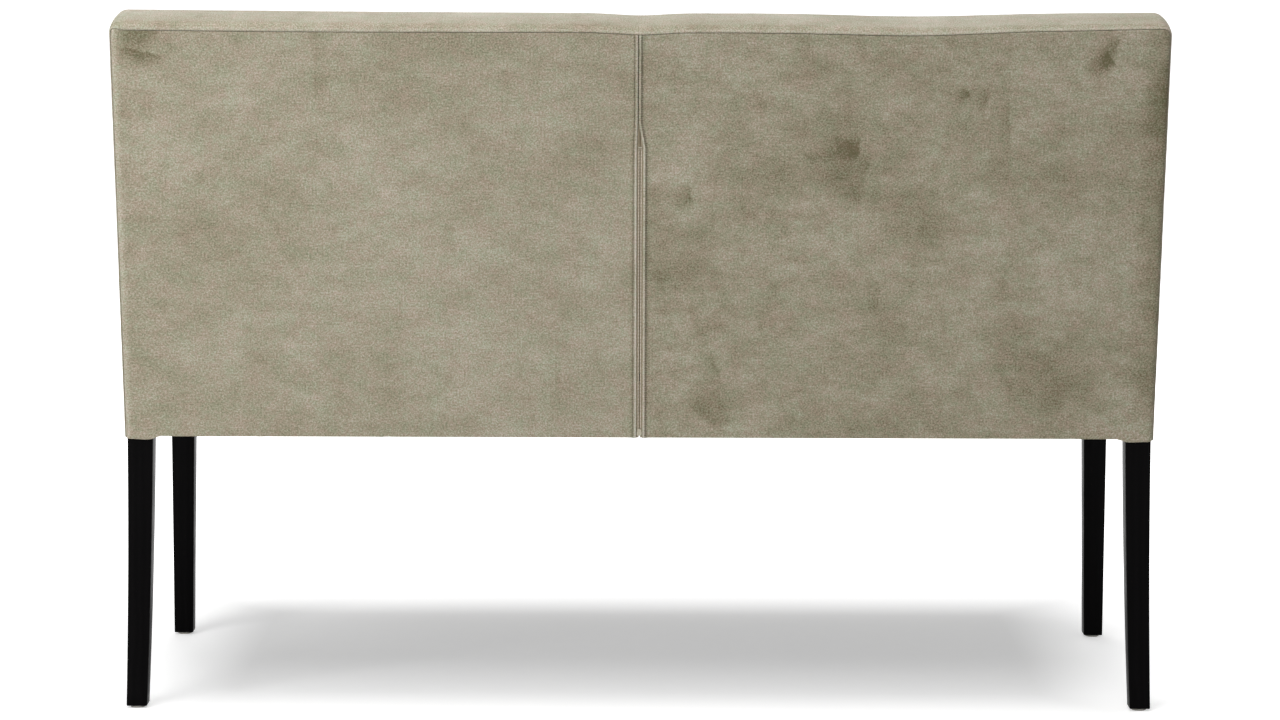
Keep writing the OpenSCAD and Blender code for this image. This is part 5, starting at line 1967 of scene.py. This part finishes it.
@dataclass
class Suspension:
    """Elastic belts of the seat and back, and the cloth over the seat's belts."""

    seat_count: int = 10
    back_count: int = 4
    width: float = 60.0
    thickness: float = 1.8
    low_v: float = 125.4
    top_v: float = 503.0

    def strap(self, name: str, place: object, length: float, slack: float) -> bpy.types.Object:
        """Woven belt with a little sag and stitched-down ends.

        Args:
            name: Name of the belt.
            place: Turns (along, across, out) in millimetres into points.
            length: Its free length.
            slack: How far its middle sinks.

        Returns:
            The belt.
        """
        along = np.array(spaced(-length / 2, length / 2, 12.0, (3.0, 8.0, 16.0, 26.0)))
        across = np.linspace(-self.width / 2, self.width / 2, 13)
        u, v = np.meshgrid(along, across, indexing="ij")
        held = smooth((length / 2 - 22 - np.abs(u)) / (length / 2 - 22))
        out = -slack * held + 0.25 * np.cos(v / self.width * math.pi * 2) * held
        points = place(u, v * (1 - 0.02 * held), out)
        outward = place(np.array(0.0), np.array(0.0), np.array(1.0)) - place(
            np.array(0.0), np.array(0.0), np.array(0.0)
        )
        belt = cloth_grid(name, points, np.stack([u, v], -1), Vector(outward))
        thicken(belt, self.thickness)
        return belt

    def build(self, kit: Finishes) -> None:
        """Builds belts and deck cloth."""
        web = Textile("belt_web", srgb(46, 45, 43), srgb(78, 76, 72), 0.0022, 0.85).build(kit)
        start, end = SIZES.front_leg_y0 + 2, SIZES.knee_y - 2
        pitch = 2 * SIZES.leg_in / self.seat_count
        for i in range(self.seat_count):
            middle = -SIZES.leg_in + (i + 0.5) * pitch

            def place(u: Array, v: Array, out: Array, middle: float = middle) -> Array:
                """Level belt from the front rail to the rear rail."""
                return np.stack(np.broadcast_arrays(middle + v, (start + end) / 2 + u, SIZES.deck_z - 1.1 + out), -1)

            belt = self.strap(f"seat_belt_{i + 1:02d}", place, end - start, 3.0)
            dress(belt, web, ("seat_belts_group",))
        pitch = (self.top_v - self.low_v) / self.back_count
        for i in range(self.back_count):
            middle = self.low_v + (i + 0.5) * pitch

            def lean(u: Array, v: Array, out: Array, middle: float = middle) -> Array:
                """Belt across the posts."""
                return on_back(u, 52.9 + out, middle + v)

            belt = self.strap(f"back_belt_{i + 1:02d}", lean, 2 * SIZES.frame_half - 6, 2.0)
            dress(belt, web, ("back_belts_group",))
        lining = Textile("black_lining", srgb(24, 24, 25), srgb(44, 44, 46), 0.0016, 0.9).build(kit)
        self.cut_cloth("deck_cloth_sheet", SIZES.deck_z - 0.1, 0.5, 0.0, 1.5, lining, "deck_cloth", (SIZES.frame_half - 1, 0.8), False)
        inner = SIZES.frame_half - 17.2
        self.cut_cloth("dust_cover_sheet", SIZES.rail_z0 - 1.0, 0.45, 1.6, 17.2, lining, "dust_cover", (inner, 17.2), True)

    def cut_cloth(
        self,
        name: str,
        level: float,
        thickness: float,
        sag: float,
        margin: float,
        material: bpy.types.Material,
        node: str,
        reach: tuple[float, float],
        front_cut: bool,
    ) -> None:
        """Level cloth with its corners cut out round the legs."""
        half, inset = reach
        notch = SIZES.leg_in - 1.4
        front, rear = SIZES.front_leg_y0 + inset, SIZES.knee_y - inset
        cut_rear, cut_front = SIZES.rear_leg_y0 - 1.4, SIZES.front_leg_y1 + 1.4
        del margin
        xs = np.array([-half] + spaced(-notch, notch, 16.0) + [half])
        ys = np.array(([front] + spaced(cut_front, cut_rear, 14.0) if front_cut else spaced(front, cut_rear, 14.0)) + [rear])
        x, y = np.meshgrid(xs, ys)
        swing = np.sin(math.pi * (x + half) / (2 * half)) * np.sin(math.pi * (y - front) / (rear - front))
        z = level - sag * np.clip(swing, 0, 1) + 0.12 * soft_noise(x, y, 60, 131)
        keep = np.ones((len(ys) - 1, len(xs) - 1), bool)
        keep[-1, 0] = keep[-1, -1] = False
        if front_cut:
            keep[0, 0] = keep[0, -1] = False
        uv = np.stack([x, y], -1)
        sheet = cloth_grid(name, np.stack([x, y, z], -1), uv, Vector((0, 0, 1)), keep)
        thicken(sheet, thickness)
        dress(sheet, material, (node,))


@dataclass
class HookTapes:
    """Hook tape under the rails, which holds the cover's hem."""

    width: float = 16.0
    thickness: float = 2.1

    def build(self, kit: Finishes) -> None:
        """Builds one strip under each rail."""
        hook = Textile("hook_fleece", srgb(58, 57, 54), srgb(34, 33, 32), 0.0009, 0.9).build(kit)
        notch = SIZES.leg_in - 1.2
        front, rear = SIZES.front_leg_y0, SIZES.knee_y
        side0, side1 = SIZES.front_leg_y1 + 1.2, SIZES.rear_leg_y0 - 1.2
        edge = SIZES.frame_half
        for name, low, high in (
            ("hook_tape_front", (-notch, front + 0.3), (notch, front + self.width)),
            ("hook_tape_rear", (-notch, rear - self.width), (notch, rear - 0.3)),
            ("hook_tape_left", (-edge + 0.3, side0), (-edge + self.width, side1)),
            ("hook_tape_right", (edge - self.width, side0), (edge - 0.3, side1)),
        ):
            wide, long = high[0] - low[0], high[1] - low[1]
            xs = np.linspace(low[0], high[0], max(5, round(wide / 8)))
            ys = np.linspace(low[1], high[1], max(5, round(long / 8)))
            x, y = np.meshgrid(xs, ys)
            z = SIZES.rail_z0 - 0.2 + 0 * x
            tape = cloth_grid(name, np.stack([x, y, z], -1), np.stack([x, y], -1), Vector((0, 0, 1)))
            thicken(tape, self.thickness)
            dress(tape, hook, ("hook_tapes",))


# ---------------------------------------------------------------- zip


@dataclass
class Zip:
    """Coil zip in the rear seam: tapes, coil rows, stops and slider."""

    tape_in: float = 0.55
    tape_w: float = 12.0
    tape_depth: float = 1.6
    tape_t: float = 0.6
    pitch: float = 2.0
    turns: int = 200
    coil_start: float = 3.0
    wire: float = 0.42
    coil_out: float = 2.66
    coil_rear: float = 0.32
    coil_front: float = 1.56
    top_stop: float = 404.0
    slider_v: float = 3.3
    slider_l: float = 9.5
    half: float = 3.5

    def lean_back(self, obj: bpy.types.Object) -> None:
        """Moves a piece drawn upright, with depth along -Y, onto the slope of the back."""
        obj.matrix_world = Matrix.Translation((0, SIZES.hem_y * MM, SIZES.hem_z * MM)) @ Matrix.Rotation(
            -SIZES.lean, 4, "X"
        )
        freeze(obj)

    def tape(self, side: Side) -> bpy.types.Object:
        """Woven tape that carries one coil row."""
        sign = side.value
        rows = np.array(spaced(-0.4, SIZES.zip_len + SIZES.zip_close, 4.0))
        cols = np.array([0.0, 0.35, 1.0, 2.4, 2.9, 4.0, 6.0, 8.0, 10.0, 11.4, 12.0]) + self.tape_in
        ax, up = np.meshgrid(cols, rows)
        dip = 0.12 * bump(ax, 3.2, 0.5) + 0.05 * soft_noise(ax, up, 9.0, 141)
        points = on_back(sign * ax, self.tape_depth + 0.03 + dip, up)
        sheet = cloth_grid(f"zip_tape_cloth_{side.word}", points, np.stack([ax, up], -1), Vector((0, 1, 0.2)))
        thicken(sheet, self.tape_t - 0.1)
        return sheet

    def coil(self) -> bpy.types.Object:
        """Right coil row: one flattened turn of wire, repeated up the tape."""
        middle_x = (self.tape_in + self.coil_out) / 2
        middle_d = (self.coil_rear + self.coil_front) / 2
        wide = (self.coil_out - self.tape_in) / 2 - self.wire
        deep = (self.coil_front - self.coil_rear) / 2 - self.wire
        bpy.ops.object.select_all(action="DESELECT")
        bpy.ops.mesh.primitive_circle_add(
            vertices=5,
            radius=self.wire * MM,
            location=((middle_x + wide) * MM, -middle_d * MM, (self.coil_start + self.pitch / 2) * MM),
            rotation=(math.pi / 2, 0, 0),
        )
        row = bpy.context.object
        row.name = row.data.name = "zip_coil_rows_right"
        freeze(row)
        centre = (middle_x * MM, -middle_d * MM, (self.coil_start + self.pitch / 2) * MM)
        bpy.ops.object.mode_set(mode="EDIT")
        bpy.ops.mesh.select_all(action="SELECT")
        bpy.ops.mesh.spin(steps=8, angle=2 * math.pi, center=centre, axis=(0, 0, 1))
        bpy.ops.mesh.select_all(action="SELECT")
        bpy.ops.mesh.remove_doubles(threshold=0.00002)
        bpy.ops.transform.resize(value=(1, deep / wide, 1), center_override=centre)
        # Wire keeps its thickness where the turn was flattened, and each turn leans a little
        pick(row, lambda p: abs(p.y + middle_d) > deep * 0.3)
        bpy.ops.transform.resize(value=(1, 1.15, 1.25), center_override=centre)
        bpy.ops.mesh.select_all(action="SELECT")
        bpy.ops.transform.rotate(value=math.radians(14), orient_axis="Y", center_override=centre)
        bpy.ops.mesh.normals_make_consistent(inside=False)
        bpy.ops.object.mode_set(mode="OBJECT")
        apply_modifier(
            row,
            "ARRAY",
            count=self.turns,
            use_relative_offset=False,
            use_constant_offset=True,
            constant_offset_displace=(0, 0, self.pitch * MM),
        )
        activate(row)
        bpy.ops.object.shade_smooth()
        self.lean_back(row)
        return row

    def stops(self) -> bpy.types.Object:
        """Two stops at the hem and one across the top, as bent wire staples."""
        parts = []
        for i, (x0, x1, v0, v1) in enumerate(
            ((0.55, 2.7, 1.0, 3.0), (-2.7, -0.55, 1.0, 3.0), (-2.7, 2.7, self.top_stop, self.top_stop + 2.0))
        ):
            part = add_block(f"stop_{i}", (x0, -1.55, v0), (x1, 0.5, v1))
            bpy.ops.object.mode_set(mode="EDIT")
            pick(part, lambda p: p.y > 0.4, faces=True)
            bpy.ops.mesh.inset(thickness=0.3 * MM)
            bpy.ops.mesh.extrude_region_move(TRANSFORM_OT_translate={"value": (0, -0.15 * MM, 0)})
            bpy.ops.object.mode_set(mode="OBJECT")
            apply_modifier(part, "BEVEL", width=0.18 * MM, segments=2, limit_method="ANGLE")
            parts.append(part)
        activate(parts[0])
        for part in parts:
            part.select_set(True)
        bpy.ops.object.join()
        stops = bpy.context.object
        stops.name = stops.data.name = "zip_stop_staples"
        bpy.ops.object.shade_smooth_by_angle(angle=math.radians(40))
        self.lean_back(stops)
        return stops

    def plate(self, name: str, depth0: float, depth1: float) -> bpy.types.Object:
        """One plate of the slider, extruded up through its outline."""
        levels = ((0.0, 2.5), (1.0, self.half), (0.45 * self.slider_l, self.half), (7.6, 2.8), (self.slider_l, 1.8))
        bpy.ops.object.select_all(action="DESELECT")
        base = self.slider_v
        bpy.ops.mesh.primitive_plane_add(size=1, location=(0, -(depth0 + depth1) / 2 * MM, base * MM))
        plate = bpy.context.object
        plate.name = plate.data.name = name
        plate.scale = (2 * levels[0][1] * MM, (depth1 - depth0) * MM, 1)
        freeze(plate)
        bpy.ops.object.mode_set(mode="EDIT")
        bpy.ops.mesh.select_all(action="SELECT")
        for (low, wide_0), (high, wide_1) in zip(levels, levels[1:]):
            bpy.ops.mesh.extrude_region_move(TRANSFORM_OT_translate={"value": (0, 0, (high - low) * MM)})
            bpy.ops.transform.resize(
                value=(wide_1 / wide_0, 1, 1), center_override=(0, -(depth0 + depth1) / 2 * MM, (base + high) * MM)
            )
        bpy.ops.mesh.select_all(action="SELECT")
        bpy.ops.mesh.normals_make_consistent(inside=False)
        bpy.ops.object.mode_set(mode="OBJECT")
        return plate

    def slider(self) -> bpy.types.Object:
        """Slider: two plates, side walls and the neck between the rows."""
        base = self.slider_v
        parts = [self.plate("slider_rear", -0.7, 0.1), self.plate("slider_front", 2.45, 3.25)]
        # Panel pressed into the rear plate
        rear = parts[0]
        activate(rear)
        bpy.ops.object.mode_set(mode="EDIT")
        pick(rear, lambda p: p.y > 0.65 and 1.1 < p.z - base < 7.5, faces=True)
        bpy.ops.mesh.inset(thickness=0.7 * MM)
        bpy.ops.mesh.extrude_region_move(TRANSFORM_OT_translate={"value": (0, -0.18 * MM, 0)})
        bpy.ops.object.mode_set(mode="OBJECT")
        for part in parts:
            apply_modifier(part, "BEVEL", width=0.16 * MM, segments=3, limit_method="ANGLE")
        for sign in (-1, 1):
            wall = add_block(
                f"slider_wall_{sign}",
                (min(sign * 2.95, sign * 3.5), -1.35, base + 1.0),
                (max(sign * 2.95, sign * 3.5), 0.0, base + 4.27),
            )
            apply_modifier(wall, "BEVEL", width=0.12 * MM, segments=2, limit_method="ANGLE")
            parts.append(wall)
        neck = add_block("slider_neck", (-0.3, -2.6, base + 0.6), (0.3, 0.05, base + 3.2))
        apply_modifier(neck, "BEVEL", width=0.08 * MM, segments=2, limit_method="ANGLE")
        parts.append(neck)
        activate(parts[0])
        for part in parts:
            part.select_set(True)
        bpy.ops.object.join()
        slider = bpy.context.object
        slider.name = slider.data.name = "zip_slider_pressed"
        bpy.ops.object.shade_smooth_by_angle(angle=math.radians(40))
        self.lean_back(slider)
        return slider

    def build(self, kit: Finishes) -> None:
        """Builds the zip."""
        cloth = Textile("zip_tape_weave", srgb(182, 168, 143), srgb(154, 141, 117), 0.0007, 0.85).build(kit)
        wire = Moulded("zip_coil_wire", srgb(246, 234, 214), 0.38).build(kit)
        painted = Moulded("zip_painted_metal", srgb(182, 175, 154), 0.36).build(kit)
        for side in Side:
            dress(self.tape(side), cloth, (f"zip_tape_{side.word}",))
        row = self.coil()
        twin = mirrored(row, "zip_coil_rows_left")
        dress(row, wire, ("zip_coil_right",))
        dress(twin, wire, ("zip_coil_left",))
        dress(self.stops(), painted, ("zip_stops",))
        dress(self.slider(), painted, ("zip_slider",), Body.SLIDER)


# ---------------------------------------------------------------- studio


@dataclass
class Studio:
    """Pale floor, soft lights and the camera behind the bench."""

    camera_at: tuple[float, float, float] = (0.0015, 5.1506, 1.0648)
    pitch: float = 6.804
    yaw: float = -0.026
    roll: float = 0.186
    lens: float = 103.23

    def camera(self) -> None:
        """Adds the camera of the photograph."""
        data = bpy.data.cameras.new("camera")
        data.lens, data.sensor_width = self.lens, 36.0
        camera = bpy.data.objects.new("camera", data)
        bpy.context.scene.collection.objects.link(camera)
        aim = Euler((math.radians(90 - self.pitch), 0, math.radians(180 + self.yaw))).to_matrix().to_4x4()
        roll = Matrix.Rotation(math.radians(self.roll), 4, "Z")
        camera.matrix_world = Matrix.Translation(Vector(self.camera_at)) @ aim @ roll
        bpy.context.scene.camera = camera

    def lamp(self, name: str, place: tuple[float, float, float], size: float, watts: float) -> None:
        """Adds a square lamp that faces the bench."""
        data = bpy.data.lights.new(name, "AREA")
        data.shape, data.size, data.energy = "SQUARE", size, watts
        lamp = bpy.data.objects.new(name, data)
        bpy.context.scene.collection.objects.link(lamp)
        lamp.location = place
        aim = Vector((0, 0.1, 0.55)) - Vector(place)
        lamp.rotation_euler = aim.to_track_quat("-Z", "Y").to_euler()

    def world(self) -> None:
        """White behind the bench, softer light on it."""
        world = bpy.data.worlds.new("studio")
        bpy.context.scene.world = world
        world.use_nodes = True
        nodes = Nodes(world.node_tree)
        path = nodes.add("ShaderNodeLightPath")
        seen = nodes.math("MAXIMUM", path.outputs["Is Camera Ray"], path.outputs["Is Glossy Ray"])
        seen = nodes.math("MAXIMUM", seen, path.outputs["Is Transmission Ray"])
        strength = nodes.math("MULTIPLY_ADD", seen, 1.0 - 0.33, 0.33)
        sky = nodes.add("ShaderNodeBackground", {"Color": (1, 1, 1, 1), "Strength": strength})
        nodes.add("ShaderNodeOutputWorld", {"Surface": sky.outputs[0]})

    def floor(self) -> None:
        """Adds the floor, which turns plain white away from the bench."""
        bpy.ops.object.select_all(action="DESELECT")
        bpy.ops.mesh.primitive_circle_add(vertices=96, radius=60, fill_type="NGON", location=(0, 0, 0))
        floor = bpy.context.object
        floor.name = "floor"
        material = bpy.data.materials.new("floor")
        material.use_nodes = True
        nodes = Nodes(material.node_tree)
        place = nodes.add("ShaderNodeTexCoord").outputs["Object"]
        split = nodes.add("ShaderNodeSeparateXYZ", {0: place})
        wide = nodes.math("ABSOLUTE", split.outputs[0])
        far = nodes.add("ShaderNodeMapRange", {0: wide, 1: 0.56, 2: 0.94, 3: 0.0, 4: 1.0}).outputs[0]
        for start, end in ((-0.45, -0.88), (0.14, 0.62)):
            reach = nodes.add("ShaderNodeMapRange", {0: split.outputs[1], 1: start, 2: end, 3: 0.0, 4: 1.0})
            far = nodes.math("MAXIMUM", far, reach.outputs[0])
        path = nodes.add("ShaderNodeLightPath")
        seen = nodes.math("MAXIMUM", path.outputs["Is Camera Ray"], path.outputs["Is Glossy Ray"])
        seen = nodes.math("MAXIMUM", seen, path.outputs["Is Transmission Ray"])
        fine = nodes.noise(place, 40.0, 3.0)
        white = nodes.mix(fine, (0.79, 0.79, 0.79, 1), (0.81, 0.81, 0.81, 1))
        diffuse = nodes.add("ShaderNodeBsdfDiffuse", {"Color": white})
        # Painted light: the floor glows for rays seen directly and in reflections, weakly near the bench and fully
        # farther out, which trims the cast shadow to the area under the bench
        glow = nodes.math("MULTIPLY", nodes.math("MULTIPLY_ADD", far, 0.87, 0.19), seen)
        light = nodes.add("ShaderNodeEmission", {"Strength": glow})
        both = nodes.add("ShaderNodeAddShader", {0: diffuse.outputs[0], 1: light.outputs[0]})
        below = nodes.add("ShaderNodeNewGeometry").outputs["Backfacing"]
        clear = nodes.add("ShaderNodeBsdfTransparent")
        whole = nodes.add("ShaderNodeMixShader", {0: below, 1: both.outputs[0], 2: clear.outputs[0]})
        nodes.add("ShaderNodeOutputMaterial", {"Surface": whole.outputs[0]})
        floor.data.materials.append(material)

    def build(self) -> None:
        """Sets up the studio."""
        self.camera()
        self.world()
        self.floor()
        self.lamp("key", (2.0, 2.0, 1.5), 1.3, 29)
        self.lamp("fill", (-3.2, 3.8, 2.2), 3.0, 6)
        self.lamp("overhead", (0.3, 1.65, 4.0), 2.8, 88)
        self.lamp("front", (0.6, -4.5, 3.0), 3.0, 75)
        bpy.context.scene.view_settings.view_transform = "Standard"


def main() -> None:
    """Builds the bench in order."""
    bpy.ops.object.select_all(action="DESELECT")
    kit = Finishes()
    Studio().build()
    Legs().build(Lacquer().build(kit))
    Frame().build(kit)
    Suspension().build(kit)
    HookTapes().build(kit)
    cover = Cover()
    padding = Padding()
    padding.build(cover, kit)
    cover.build(kit)
    padding.line(cover)
    Zip().build(kit)


if __name__ == "__main__":
    main()
